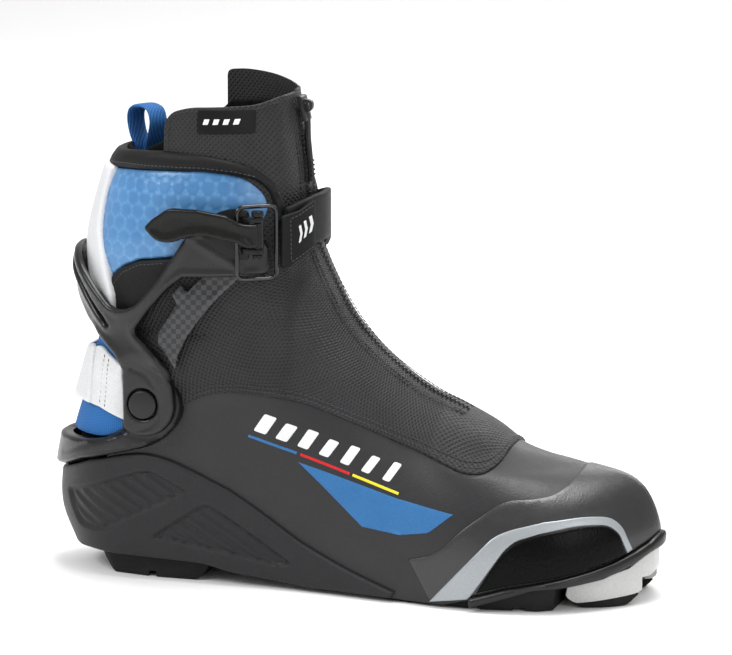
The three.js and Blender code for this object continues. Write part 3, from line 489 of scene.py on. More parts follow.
def skin(rows, sides, closed=False):
    """Faces between successive rings of points; the two ends are capped unless it is closed."""
    faces = []
    for k in range(rows if closed else rows - 1):
        here, ahead = k * sides, (k + 1) % rows * sides
        for i in range(sides):
            j = (i + 1) % sides
            faces.append((here + i, here + j, ahead + j, ahead + i))
    if not closed:
        faces.append(tuple(range(sides - 1, -1, -1)))
        faces.append(tuple((rows - 1) * sides + i for i in range(sides)))
    return faces


def flat_of(obj):
    """The unrolled places of an object's points."""
    data = np.zeros(3 * len(obj.data.vertices), np.float32)
    obj.data.attributes["flat"].data.foreach_get("vector", data)
    return data.reshape(-1, 3)[:, :2]


def store(obj, name, values):
    """Keeps one number for each point, for the materials."""
    attribute = obj.data.attributes.new(name, "FLOAT", "POINT")
    attribute.data.foreach_set("value", np.asarray(values, np.float32))


def paint(obj, finish):
    obj.data.materials.clear()
    obj.data.materials.append(FINISH[finish])


def flex(obj):
    """Cloth over the ankle: its place is baked into its points, and it is put on no body."""
    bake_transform(obj)


def mount(obj, finish, body, slot, *nodes):
    """Paints a piece, puts it on its body and hides the nodes it stands for.

    The body "ankle" is cloth over the ankle; its pieces are baked in place rather than put on a body."""
    paint(obj, finish)
    if body == "ankle":
        flex(obj)
    else:
        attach(obj, body)
    if nodes:
        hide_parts(*nodes)


def panel(name, place, loops, base, thick, edge=1.0, spacing=3.0, rim=0.3,
          relief=None, adjust=None, under=None):
    """A sheet with rounded edges: from base to base + thick off the place's surface.

    relief adds to the outer height, adjust moves points before the thickness is given."""
    insets = [edge * s for s in (0.12, 0.4, 1.0)]
    uv, faces = fill(loops, spacing, insets)
    points = place.surface(uv)
    if adjust:
        points = adjust(points)
    normals = vertex_normals(points, faces)
    centre = points.mean(0)
    outward = np.sign(((points - [centre[0], 0, centre[2]]) * normals).sum(1).mean())
    if np.abs(points[:, 1]).min() > 1:
        outward = np.sign((normals[:, 1] * points[:, 1]).mean())
    if outward < 0:
        faces = faces[:, ::-1]
        normals = -normals
    distance = edge_distance(uv, loops)
    share = np.clip(distance / edge, 0, 1)
    crown = rim + (1 - rim) * np.sqrt(1 - (1 - share) ** 2)
    height = base + thick * crown
    if relief:
        height = height + relief(uv, points, distance)
    top = points + normals * height[:, None]
    floor = base if under is None else under
    bottom = points + normals * floor
    count = len(points)
    sides = boundary_edges(faces)
    all_faces = [tuple(f) for f in faces] + [tuple(count + f[::-1]) for f in faces]
    all_faces += [(b, a, count + a, count + b) for a, b in sides]
    obj = add_object(name, np.vstack([top, bottom]), all_faces, np.vstack([uv, uv]))
    store(obj, "rim", np.concatenate([distance, np.zeros(count)]))
    return obj


def boundary_edges(faces):
    """Edges that only one face has, in that face's direction."""
    seen = {}
    for f in faces:
        for k in range(3):
            a, b = int(f[k]), int(f[(k + 1) % 3])
            if (b, a) in seen:
                del seen[(b, a)]
            else:
                seen[(a, b)] = True
    return list(seen)


# ------------------------------------------------------------------ materials


class Shader:
    """A small helper around one material's node tree."""

    def __init__(self, name):
        self.material = bpy.data.materials.new(name)
        self.material.use_nodes = True
        self.tree = self.material.node_tree
        self.surface = self.tree.nodes["Principled BSDF"]

    def node(self, kind, inputs=None, **settings):
        made = self.tree.nodes.new(kind)
        for key, value in settings.items():
            setattr(made, key, value)
        for key, value in (inputs or {}).items():
            self.feed(made.inputs[key], value)
        return made

    def feed(self, socket, value):
        if isinstance(value, bpy.types.NodeSocket):
            self.tree.links.new(value, socket)
        else:
            socket.default_value = value

    def set(self, **inputs):
        for key, value in inputs.items():
            self.feed(self.surface.inputs[key.replace("_", " ")], value)

    def math(self, operation, a, b=0.0, clamp=False):
        made = self.node("ShaderNodeMath", {0: a, 1: b}, operation=operation)
        made.use_clamp = clamp
        return made.outputs[0]

    def millimetres(self, flat):
        """Position in millimetres: on the unrolled surface, or in the boot's frame."""
        if flat:
            return self.node("ShaderNodeAttribute", attribute_name="flat").outputs["Vector"]
        place = self.node("ShaderNodeTexCoord").outputs["Object"]
        return self.node("ShaderNodeVectorMath", {0: place, 3: 1000.0}, operation="SCALE").outputs[0]

    def noise(self, place, size, detail=3.0, stretch=None):
        if stretch:
            place = self.node("ShaderNodeMapping", {"Vector": place, "Scale": stretch}).outputs[0]
        made = self.node("ShaderNodeTexNoise", {"Vector": place, "Scale": 1 / size, "Detail": detail})
        return made.outputs["Fac"]

    def cells(self, place, size):
        made = self.node("ShaderNodeTexVoronoi", {"Vector": place, "Scale": 1 / size})
        return made.outputs["Distance"]

    def attribute(self, name):
        return self.node("ShaderNodeAttribute", attribute_name=name).outputs["Fac"]

    def map_range(self, value, limits):
        return self.node("ShaderNodeMapRange", {"Value": value, **limits}).outputs[0]

    def mix(self, share, first, second):
        """The first colour where share is 0, the second where it is 1."""
        made = self.node("ShaderNodeMix", {0: share, 6: first, 7: second}, data_type="RGBA")
        return made.outputs[2]

    def waves(self, place, pitch, weights):
        """A sine wave along a direction of the place's coordinates, from 0 to 1."""
        dot = self.node("ShaderNodeVectorMath", {0: place, 1: weights}, operation="DOT_PRODUCT")
        turn = self.math("MULTIPLY", dot.outputs["Value"], 2 * math.pi / pitch)
        wave = self.math("SINE", turn)
        return self.math("ADD", self.math("MULTIPLY", wave, 0.5), 0.5)


DIAGONALS = [(0.707, 0.707, 0), (0.707, -0.707, 0)]


def grain(s, place, size):
    """Small pebbles, as on leather or moulded plastic."""
    return s.math("ADD", s.cells(place, size), s.math("MULTIPLY", s.noise(place, size / 2), 0.5))


def basket(s, place, pitch):
    """Fine crossing threads on the diagonal."""
    return s.math("MAXIMUM", *[s.waves(place, pitch, way) for way in DIAGONALS])


def knit(s, place, pitch):
    """Upright ribs crossed by slanting rows."""
    a = s.waves(place, pitch, (1, 0, 0))
    b = s.waves(place, pitch * 1.6, (0.3, 1, 0))
    return s.math("MULTIPLY", a, s.math("ADD", s.math("MULTIPLY", b, 0.5), 0.5))


def fluff(s, place, size):
    return s.noise(place, size, 6.0)


def brushed(s, place, size):
    return s.noise(place, size, 2.0, stretch=(0.05, 1, 1))


def carbon(s, place, pitch):
    """Twill of fibre bundles: squares that alternate between the two diagonals."""
    a, b = (s.waves(place, pitch, way) for way in DIAGONALS)
    return s.math("GREATER_THAN", s.math("ADD", a, s.math("MULTIPLY", b, -1.0)), 0.0)


def cells(s, place, pitch):
    """Knit, darker inside the raised cells than in the lines between them."""
    between = s.math("SUBTRACT", 1.0, s.attribute("cell"))
    return s.math("ADD", s.math("MULTIPLY", knit(s, place, pitch), 0.25), s.math("MULTIPLY", between, 0.9))


PATTERNS = {
    "cells": cells, "grain": grain, "basket": basket, "knit": knit, "fluff": fluff, "brushed": brushed,
    "carbon": carbon,
}

# How strongly a dark surface mirrors the studio.
FAINT = {"Specular_IOR_Level": 0.08}
DULL = {"Specular_IOR_Level": 0.18}
SATIN = {"Specular_IOR_Level": 0.28}
SEMI = {"Specular_IOR_Level": 0.35}
GLOSSY = {"Specular_IOR_Level": 0.6}

# Each finish: darker and lighter colour, roughness, pattern, its size in mm, bump depth in mm,
# whether it follows the unrolled surface, and any further inputs.
FINISHES = {
    "shell": ((0.010, 0.0098, 0.0105), (0.0165, 0.016, 0.0175), 0.42, "grain", 0.7, 0.05, True, SEMI),
    "overlay": ((0.009, 0.009, 0.0095), (0.0145, 0.0145, 0.0155), 0.34, "grain", 0.8, 0.04, True, GLOSSY),
    "gloss": ((0.0010, 0.0010, 0.0011), (0.0020, 0.0020, 0.0022), 0.28, "grain", 1.6, 0.10, True, FAINT),
    "rubber": ((0.004, 0.004, 0.004), (0.009, 0.009, 0.009), 0.68, "grain", 0.9, 0.06, False, DULL),
    "welt": ((0.0015, 0.0015, 0.0015), (0.003, 0.003, 0.003), 0.36, "grain", 0.9, 0.03, False, SEMI),
    "chassis": ((0.014, 0.0138, 0.0148), (0.021, 0.0205, 0.022), 0.48, "grain", 0.8, 0.06, True, DULL),
    "frame": ((0.0085, 0.0085, 0.009), (0.014, 0.014, 0.015), 0.30, "grain", 0.6, 0.03, True, SEMI),
    "yoke": ((0.0085, 0.0085, 0.009), (0.014, 0.014, 0.015), 0.30, "grain", 0.6, 0.03, True, SEMI),
    "pin": ((0.004, 0.004, 0.0045), (0.008, 0.008, 0.0085), 0.38, "grain", 0.6, 0.03, False, SEMI),
    "carbon": ((0.004, 0.004, 0.0045), (0.034, 0.0345, 0.037), 0.33, "carbon", 3.4, 0.04, True,
               {"Coat_Weight": 0.2, **SEMI}),
    "gaiter": ((0.001, 0.001, 0.0012), (0.018, 0.018, 0.0195), 0.50, "basket", 1.9, 0.3, True, SATIN),
    "strap": ((0.002, 0.002, 0.002), (0.005, 0.005, 0.0055), 0.6, "grain", 0.6, 0.05, False, DULL),
    "fleece": ((0.0015, 0.0015, 0.0015), (0.007, 0.007, 0.0075), 0.95, "fluff", 0.7, 0.4, False,
               FAINT),
    "pad": ((0.003, 0.003, 0.003), (0.007, 0.007, 0.0075), 0.55, "grain", 0.7, 0.05, True, DULL),
    "blue_pad": ((0.030, 0.145, 0.34), (0.085, 0.25, 0.48), 0.36, "cells", 0.55, 0.03, True,
                 {"Sheen_Weight": 0.12, **GLOSSY}),
    "blue_cloth": ((0.012, 0.085, 0.27), (0.030, 0.15, 0.40), 0.7, "knit", 0.9, 0.12, True, DULL),
    "webbing": ((0.010, 0.065, 0.21), (0.035, 0.14, 0.36), 0.7, "knit", 1.1, 0.2, False, DULL),
    "white": ((0.48, 0.485, 0.50), (0.58, 0.585, 0.60), 0.45, "grain", 0.7, 0.04, True, {}),
    "white_strap": ((0.47, 0.475, 0.485), (0.60, 0.605, 0.61), 0.55, "grain", 0.8, 0.05, True, {}),
    "toe_white": ((0.38, 0.38, 0.37), (0.47, 0.47, 0.46), 0.35, "grain", 1.2, 0.03, False, {}),
    "silver": ((0.24, 0.255, 0.27), (0.31, 0.33, 0.345), 0.38, "grain", 0.5, 0.02, True,
               {"Metallic": 0.35}),
    "label": ((0.0015, 0.0015, 0.0015), (0.003, 0.003, 0.0035), 0.5, "grain", 0.6, 0.04, True, DULL),
    "lever": ((0.004, 0.004, 0.0038), (0.009, 0.009, 0.0085), 0.24, "grain", 1.1, 0.03, False, DULL),
    "steel": ((0.42, 0.42, 0.43), (0.55, 0.55, 0.56), 0.3, "brushed", 0.4, 0.01, False,
              {"Metallic": 1.0}),
    "ring_steel": ((0.025, 0.025, 0.027), (0.06, 0.06, 0.063), 0.22, "brushed", 0.4, 0.01, False,
                   {"Metallic": 1.0}),
    "black_steel": ((0.005, 0.005, 0.0055), (0.010, 0.010, 0.011), 0.3, "grain", 0.6, 0.02, False, SEMI),
    "board": ((0.20, 0.18, 0.15), (0.27, 0.24, 0.20), 0.9, "fluff", 1.5, 0.1, False, {}),
    "cord": ((0.5, 0.5, 0.5), (0.65, 0.65, 0.65), 0.8, "fluff", 0.6, 0.1, False, {}),
    "thread": ((0.012, 0.012, 0.0125), (0.034, 0.034, 0.036), 0.6, "fluff", 0.4, 0.03, False, DULL),
    "thread_grey": ((0.03, 0.03, 0.03), (0.07, 0.07, 0.07), 0.6, "fluff", 0.4, 0.03, False, DULL),
    "print_white": ((0.58, 0.585, 0.59), (0.68, 0.685, 0.69), 0.45, "grain", 0.7, 0.03, True, {}),
    "print_blue": ((0.020, 0.100, 0.25), (0.032, 0.135, 0.32), 0.45, "grain", 0.7, 0.03, True, DULL),
    "print_red": ((0.42, 0.010, 0.014), (0.52, 0.018, 0.022), 0.45, "grain", 0.7, 0.03, True, DULL),
    "print_yellow": ((0.58, 0.50, 0.02), (0.68, 0.59, 0.03), 0.45, "grain", 0.7, 0.03, True, DULL),
}

# Finishes with a painted shade along their border, and the width of that band in mm.
SHADED_RIM = {"frame": 1.5, "yoke": 2.6}
RIM_SHADE_COLOUR = (0.004, 0.004, 0.0045, 1)
MOTTLE_SIZE = 14.0
SCUFF_SIZE = 3.5
WORN_EDGE = {"From Min": 0.52, "From Max": 0.60, "To Max": 0.35}


def make_finish(name, dark, light, roughness, pattern, size, depth, flat, extra):
    """One material: two tones of its pattern, paler on worn edges, with a painted shade along the border
    of some, scuffed and embossed.
    """
    s = Shader("boot_" + name)
    relief = PATTERNS[pattern](s, s.millimetres(flat), size)
    mottle = s.noise(s.millimetres(False), MOTTLE_SIZE)
    tone = s.math("ADD", s.math("MULTIPLY", relief, 0.6), s.math("MULTIPLY", mottle, 0.5), clamp=True)
    colour = s.mix(s.map_range(tone, {"From Min": 0.15, "From Max": 0.85}), (*dark, 1), (*light, 1))
    pointed = s.node("ShaderNodeNewGeometry").outputs["Pointiness"]
    wear = tuple(min(1.0, c * 1.5 + 0.004) for c in light)
    colour = s.mix(s.map_range(pointed, WORN_EDGE), colour, (*wear, 1))
    # Painted shade: a dark band along the border, where the edge of the frame and the yoke falls in
    # shadow.
    if name in SHADED_RIM:
        width = SHADED_RIM[name]
        share = s.map_range(s.attribute("rim"), {"From Min": width - 0.5, "From Max": width})
        colour = s.mix(share, RIM_SHADE_COLOUR, colour)
    scuffs = s.noise(s.millimetres(False), SCUFF_SIZE, 5.0)
    rough = s.math("ADD", s.math("MULTIPLY", scuffs, 0.16), roughness - 0.08, clamp=True)
    bump = s.node("ShaderNodeBump", {"Height": relief, "Distance": depth * MM, "Strength": 1.0})
    s.set(Base_Color=colour, Roughness=rough, Normal=bump.outputs[0], **extra)
    return s.material


FINISH = {name: make_finish(name, *spec) for name, spec in FINISHES.items()}

# ------------------------------------------------------------------ stitches and beads


PATH_STEP = 0.8
INNER_POINT = (15, 0, 60)


def surface_path(place, line, side, lift):
    """A side-view line carried onto a form and lifted off it, with its normals."""
    line = densify(np.array([p[:2] for p in line], float), PATH_STEP, closed=False)
    return lifted(place, place.flat(on_side(place.form, line, side)), lift)


def lifted(place, flat, lift):
    """Unrolled places carried onto a form and lifted off it, with its normals."""
    points = place.surface(flat)
    a = place.surface(flat + [PATH_STEP, 0])
    b = place.surface(flat + [0, PATH_STEP])
    normals = unit(np.cross(a - points, b - points))
    away = points - INNER_POINT
    flip = np.sign((normals * away).sum(1))
    flip[flip == 0] = 1
    normals *= flip[:, None]
    return points + normals * lift, normals


def along(points, normals, spacing):
    """Evenly spaced places on a path: positions, tangents and normals."""
    steps = np.linalg.norm(np.diff(points, axis=0), axis=1)
    length = np.concatenate([[0], np.cumsum(steps)])
    at = np.arange(spacing / 2, length[-1], spacing)

    def sample(values, where):
        return np.column_stack([np.interp(where, length, values[:, k]) for k in range(3)])

    pos, nor = sample(points, at), sample(normals, at)
    tan = unit(sample(points, at + 0.3) - sample(points, at - 0.3))
    return pos, tan, unit(nor - tan * (nor * tan).sum(1)[:, None])


def stitches(name, paths, pitch, length, width, height):
    """Rows of thread: one small rounded bead for each stitch."""
    verts, faces = [], []
    sides = 6
    ring = [(math.cos(a), math.sin(a)) for a in np.linspace(0, 2 * math.pi, sides, endpoint=False)]
    sections = [(-0.5, 0.35), (-0.32, 0.9), (0.32, 0.9), (0.5, 0.35)]
    bead = skin(len(sections), sides)
    for points, normals in paths:
        pos, tan, nor = along(points, normals, pitch)
        for p, t, n in zip(pos, tan, nor):
            across = np.cross(n, t)
            start = len(verts)
            for share, size in sections:
                for c, s in ring:
                    verts.append(p + t * share * length + across * c * width / 2 * size
                                 + n * s * height / 2 * size)
            faces += [tuple(start + v for v in face) for face in bead]
    return add_object(name, verts, faces)


def tube(name, points, radius, sides=10, closed=False):
    """A round bar along points, with flat ends when it is open."""
    points = np.asarray(points, float)
    first, last = 2 * points[0] - points[1], 2 * points[-1] - points[-2]
    nxt = np.roll(points, -1, axis=0) if closed else np.vstack([points[1:], last])
    prv = np.roll(points, 1, axis=0) if closed else np.vstack([first, points[:-1]])
    tangents = unit(nxt - prv)
    normal = np.cross(tangents[0], [0.3, 0.2, 0.93])
    verts = []
    for p, t in zip(points, tangents):
        normal = unit(normal - t * (normal @ t))
        other = np.cross(t, normal)
        for a in np.linspace(0, 2 * math.pi, sides, endpoint=False):
            verts.append(p + radius * (math.cos(a) * normal + math.sin(a) * other))
    return add_object(name, verts, skin(len(points), sides, closed))


SHARP_ANGLE = math.radians(40)


def bevelled(node, finish, width):
    """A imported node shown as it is, with its edges rounded and a finish of its own."""
    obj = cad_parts[node]
    paint(obj, finish)
    obj.data.polygons.foreach_set("use_smooth", [True] * len(obj.data.polygons))
    if width:
        weld = obj.modifiers.new("weld", "WELD")
        weld.merge_threshold = 1e-6
        bevel = obj.modifiers.new("bevel", "BEVEL")
        bevel.width = width * MM
        bevel.segments = 3
        bevel.limit_method = "ANGLE"
        bevel.angle_limit = SHARP_ANGLE
    obj.data.set_sharp_from_angle(angle=SHARP_ANGLE)


# ------------------------------------------------------------------ lower boot

GAITER_EDGE = [
    (0, 76), (14, 83), (24, 90, 6), (34, 93.3), (46, 94, 8), (65, 92.5), (78, 90.5, 10),
    (136, 70.5), (157, 62.3, 4), (166, 61.8, 4), (171, 65, 4), (173, 71.5),
]
SOLE_LINE = [
    (30, 12), (40, 8.5), (80, 3), (118, 1.2), (150, 1.2), (165, 5), (193, 12), (208, 14),
    (222, 17), (233, 22), (240, 27), (246, 29),
]


def shifted(line, dx, dz):
    return [(p[0] + dx, p[1] + dz, *p[2:]) for p in line]


def upper_shell():
    line = shifted(GAITER_EDGE, -3, 3)[::-1] + [(-22, 74), (-22, 13)] + SOLE_LINE
    obj = panel("upper_shell", SOCK, [wrap_loop(SOCK, line)], -1.6, 1.6, edge=0.8, spacing=3.0)
    mount(obj, "shell", "boot", "shell", "upper_shell")


OVERLAY_BACK = [
    (144, 3), (133, 21.5), (143, 24.2, 4), (149, 27.6, 4), (160, 38.5, 6), (177, 51.2, 8),
    (190, 51.8), (199, 53, 6), (205, 57.5, 4), (207, 63),
]


def toe_overlay():
    front = [(163, 6.4), (180, 11.6), (205, 16.7), (217, 19.6), (226, 22.4), (234, 26.2),
             (239, 29.4), (246, 33)]
    line = OVERLAY_BACK[::-1] + front
    obj = panel("toe_overlay", SOCK, [wrap_loop(SOCK, line)], 0.0, 0.75, edge=0.6, spacing=2.6)
    mount(obj, "overlay", "boot", "black_leather", "toe_overlay")


TRIM_OUTER = [
    (144, 2.5), (159.5, 19.5, 12), (174.5, 35.5, 12), (182, 38.8, 8), (197, 42.3), (214, 44, 8),
    (224, 43, 8), (229.5, 38, 6), (233.5, 27),
]
TRIM_INNER = [
    (231.6, 25.5), (228.2, 35.5, 5), (223.5, 39.6, 6), (212, 40.4, 8), (196, 37.4), (185, 34, 8),
    (180, 29.6, 8), (172.5, 18.5, 12), (163.5, 5.5),
]


def toe_trims():
    for name, side in SIDES.items():
        loop = side_loop(SOCK, TRIM_OUTER + TRIM_INNER, side, step=0.8)
        obj = panel(f"toe_trim_{name}", SOCK, [loop], 0.7, 0.75, edge=0.7, spacing=1.6)
        mount(obj, "silver", "boot", "silver", f"toe_trim_{name}")
        inset = shifted(TRIM_INNER[1:-1], 0, -0.5)
        low = [(167, 8.6), (180, 12.4), (205, 17.4), (217, 20.4), (226, 23), (231.2, 25.2)]
        loop = side_loop(SOCK, inset + low, side, step=1.0)
        obj = panel(f"toe_guard_{name}", SOCK, [loop], 0.7, 1.3, edge=1.4, spacing=2.0)
        mount(obj, "gloss", "boot", "gloss_black", f"toe_guard_{name}")


CHASSIS_EDGE = [
    (-60, 42.5), (-50, 47, 6), (-30, 56), (-13, 60.5, 10), (-3, 61.7, 8), (9, 60, 8), (22, 55, 10),
    (41, 46.5), (57, 36.8, 10), (77, 23.5, 10), (101, 13, 10), (126, 4.8),
]
WINDOWS = [
    [(-44.9, 38.8, 3), (-3.4, 53.7, 5), (2.7, 53.6, 3), (21.3, 44.5, 3), (-19.1, 23.9, 2),
     (-26.5, 21.9, 3), (-36, 22.3, 4), (-41.5, 30.5, 4)],
    [(1.4, 21.5, 2), (25.9, 38, 3), (30.4, 39.3, 3), (40.5, 34.2, 3), (74.3, 12.8, 3),
     (67.1, 10.7, 3), (2.9, 20.2, 2)],
]
RIB_PITCH = 6.2
RIB_SLANT = 0.62
RIB_HEIGHT = 0.8
WINDOW_DEPTH = 1.7


def heel_chassis():
    """The stiff rear shell, with two sunk windows of slanted ribs on each side."""
    line = CHASSIS_EDGE + [
        (124, 2), (80, 2), (40, 6.5, 6), (29, 9.5, 6), (-30, 12, 4), (-46, 10, 8), (-60, 20)]
    windows = [side_loop(WALLS, w, side) for w in WINDOWS for side in SIDES.values()]

    def ribs(uv, points, distance):
        height = np.zeros(len(uv))
        for loop in windows:
            inside = inside_loops(uv, [loop])
            depth = np.where(inside, edge_distance(uv, [loop]), 0)
            pocket = smoothstep(0, 1.5, depth)
            slope = (points[:, 0] * RIB_SLANT + points[:, 2]) / RIB_PITCH
            rib = smoothstep(0.2, 0.85, 0.5 + 0.5 * np.cos(2 * math.pi * slope))
            height -= pocket * (WINDOW_DEPTH - RIB_HEIGHT * rib * smoothstep(1.2, 3.4, depth))
        return height

    obj = panel("heel_chassis", WALLS, [wrap_loop(WALLS, line)],
                0.3, 2.4, edge=1.4, spacing=1.05, relief=ribs)
    mount(obj, "chassis", "boot", "shell", "heel_chassis")


def toe_welt():
    low = [(164, 1.4), (193, 10.7), (208, 12.4), (222, 14.8), (233.5, 19.8), (239, 24), (250, 30)]
    high = [(250, 34.6), (243, 33.2), (239, 29), (234, 25.8), (226, 22), (217, 19.2),
            (205, 16.3), (180, 11.2), (163, 6)]
    line = high + low
    obj = panel("toe_welt", SOCK, [wrap_loop(SOCK, line, step=1.0)], 0.3, 3.1, edge=1.6, spacing=2.0)
    mount(obj, "welt", "boot", "rubber", "toe_welt")


# ------------------------------------------------------------------ gaiter and zip


# Where the gaiter folds, up z, and where the cuff's pad presses it flat.
FOLD_START_Z = (60, 100)
FOLD_END_Z = (118, 150)
PRESSED_Z = (119, 127, 199, 203)
PRESSED_X = (42, 54)


def gaiter():
    shared = [(-13, 200), (-13, 72)] + GAITER_EDGE
    lateral = [(70, 235), (61, 234.2, 3), (52, 230.6, 6), (23, 230, 4), (14, 227.5, 4), (10, 222.5, 3),
               (9.5, 200)]
    medial = [(70, 235), (58, 235), (40, 238, 8), (26, 238.8, 4), (16.6, 238, 3), (16, 200)]
    loop = wrap_loop(SOCK, lateral + shared, medial + shared)

    def folds(uv, points, distance):
        x, z = points[:, 0], points[:, 2]
        ankle = smoothstep(*FOLD_START_Z, z) * (1 - smoothstep(*FOLD_END_Z, z))
        wave = np.sin(uv[:, 1] / 7.5 + 1.2 * np.sin(uv[:, 0] / 22) + 0.4)
        away = smoothstep(8, 26, np.abs(uv[:, 0])) * smoothstep(2, 12, distance)
        soft = np.sin(uv[:, 1] / 16 + uv[:, 0] / 19) * smoothstep(2, 14, distance)
        hem = 0.22 * (distance > 2.6)
        pressed = smoothstep(*PRESSED_Z[:2], z) * (1 - smoothstep(*PRESSED_Z[2:], z))
        pressed = pressed * (1 - smoothstep(*PRESSED_X, x))
        return 0.35 * wave * ankle * away + 0.28 * soft - hem + 0.2 - 1.7 * pressed

    obj = panel("gaiter", SOCK, [loop], 0.0, 0.95, edge=0.7, spacing=2.6, relief=folds)
    mount(obj, "gaiter", "ankle", "gaiter", "gaiter_lower", "gaiter_upper")


ZIP_TOP_Z = 226
ZIP_END_Z = 84.5
TOOTH_PITCH = 1.15
TAPE_HALF_WIDTH = 5.2


def zip_line():
    """The zip's path down the front of the boot, with its normals."""
    z = np.linspace(ZIP_TOP_Z, ZIP_END_Z, 400)
    points = np.column_stack([front_x(z), np.zeros(len(z)), z])
    tangent = unit(np.gradient(points, axis=0))
    normals = np.column_stack([-tangent[:, 2], np.zeros(len(z)), tangent[:, 0]])
    return points, normals


def zip_closure():
    """Teeth that reach in from both sides by turns, and the tape that carries them."""
    points, normals = zip_line()
    verts, faces = [], []
    across = np.array([0, 1.0, 0])
    corners = [(-1.5, -0.42), (1.5, -0.42), (1.5, 0.42), (-1.5, 0.42)]
    tooth = [(3, 2, 1, 0), (4, 5, 6, 7), (0, 1, 5, 4), (1, 2, 6, 5), (2, 3, 7, 6), (3, 0, 4, 7)]
    for i, (p, t, n) in enumerate(zip(*along(points + normals * 1.15, normals, TOOTH_PITCH))):
        centre = p + across * (1.05 if i % 2 else -1.05)
        start = len(verts)
        for rise, taper in ((-0.2, 1.0), (0.75, 0.72)):
            verts += [centre + across * a * taper + t * b * taper + n * rise for a, b in corners]
        faces += [tuple(start + k for k in face) for face in tooth]
    teeth = add_object("zip_teeth", verts, faces)
    mount(teeth, "pin", "ankle", "gloss_black", "zip_coil_lower", "zip_coil_upper")

    flat = SOCK.flat(points)
    strip = np.vstack([flat + [-TAPE_HALF_WIDTH, 0], (flat + [TAPE_HALF_WIDTH, 0])[::-1]])
    tape = panel("zip_tape", SOCK, [clean_loop(strip, 1.2)], 0.9, 0.35, edge=0.5, spacing=1.8)
    mount(tape, "strap", "ankle", "gaiter")


# ------------------------------------------------------------------ cuff frame, yoke and struts

EYE_FACE = {LATERAL: 41.2, MEDIAL: 40.6}
EYE_FLAT = (17.5, 25)
EYE_RADIUS = 15.8
BOSS_RADIUS = 17.2
CAP_HOLE = 7.2
FRAME_TAB_X = 51


def arc(radius, start, end, step=12):
    """Side-view points round the hinge, between two angles in degrees above +X."""
    count = max(2, int(abs(end - start) / step) + 1)
    turns = np.radians(np.linspace(start, end, count))
    return [(HINGE[0] + radius * math.cos(t), HINGE[1] + radius * math.sin(t)) for t in turns]


def line_gap(points, line):
    """Side-view distance from each point to a line of [x, z] points."""
    path = densify(np.array([p[:2] for p in line], float), 0.6, closed=False)
    gap = np.full(len(points), FAR)
    for x, z in path:
        gap = np.minimum(gap, np.hypot(points[:, 0] - x, points[:, 2] - z))
    return gap


def groove(points, line, depth, width):
    """Height of a soft channel along a line."""
    return -depth * np.exp(-(line_gap(points, line) / width) ** 2)


def flat_eye(offset):
    """Turns the form into the flat face on which each eye of the cuff turns."""
    def adjust(points):
        reach = np.hypot(points[:, 0] - HINGE[0], points[:, 2] - HINGE[1])
        share = 1 - smoothstep(*EYE_FLAT, reach)
        face = np.where(points[:, 1] < 0, -EYE_FACE[LATERAL], EYE_FACE[MEDIAL])
        face = face + offset * np.sign(points[:, 1])
        moved = points.copy()
        moved[:, 1] += (face - points[:, 1]) * share
        return moved
    return adjust


ARM_REAR = [
    (61, 165), (52, 178, 4), (34, 176, 4), (24, 171, 2), (16, 158.6), (7.8, 146.5, 6),
    (-2, 135.6, 5), (-9, 132.4, 5), (-16, 133, 4), (-27, 143), (-34, 150, 6), (-42, 157, 4), (-50, 159),
]
ARM_FRONT = [
    (14.8, 98, 8), (11, 108.6, 6), (3.2, 116.4), (-3.6, 122.5, 3), (4.5, 133.3), (15, 145.2, 3),
    (22, 150.4), (50, 151), (61, 152, 3),
]
ARM_LOWER = [
    (-52, 142.5), (-45.5, 140.6, 2), (-33.5, 128), (-24, 117.5), (-13, 109.5, 3), (-10.3, 103),
]
ARM_SLOT = [
    (-42, 148.4, 1), (-36, 142.5), (-30, 135.5), (-18.5, 123.2, 1.2), (-16.5, 124.4, 1.2),
    (-26.5, 135), (-34, 144), (-41, 150.8, 1),
]
ARM_RIDGE = [(22, 171.5), (34, 163.8), (47.5, 155)]
BAND_GROOVE = [
    (-10.5, 106), (-5, 104.6), (2, 101.5), (6.5, 95), (8.6, 88), (8, 81.5), (4, 76.8), (-4, 73.6),
]


def cuff_frame():
    """The turning frame: an eye and two arms on each side, joined behind the leg."""
    eye = arc(EYE_RADIUS, -130, 0)
    lateral = ARM_LOWER + eye + ARM_FRONT + ARM_REAR
    medial = ARM_LOWER + eye + ARM_FRONT[:-2] + [(FRAME_TAB_X, 151.2, 2), (FRAME_TAB_X, 177.6, 3)]
    medial = medial + ARM_REAR[2:]
    loops = [wrap_loop(LEG_FRAME, lateral, medial, step=1.0)]
    for side in SIDES.values():
        loops.append(side_loop(LEG_FRAME, arc(CAP_HOLE, 0, 345), side, step=0.9))
        loops.append(side_loop(LEG_FRAME, ARM_SLOT, side, step=1.0))

    def ridges(uv, points, distance):
        ridge = 0.7 * np.exp(-(line_gap(points, ARM_RIDGE) / 1.3) ** 2) * (points[:, 1] < 0)
        dish = -0.55 * smoothstep(1.8, 4.5, distance) * smoothstep(104, 118, points[:, 2])
        return ridge + dish + groove(points, BAND_GROOVE, 0.6, 0.8)

    obj = panel("cuff_frame", LEG_FRAME, loops, 0.0, 3.1, edge=1.3, spacing=1.5, rim=0.25,
                relief=ridges, adjust=flat_eye(0))
    mount(obj, "frame", "cuff", "frame_grey", "cuff_frame")


YOKE_GROOVE = [(-12, 71.2), (-23.5, 66.2), (-34, 61.4), (-43.4, 55.8)]


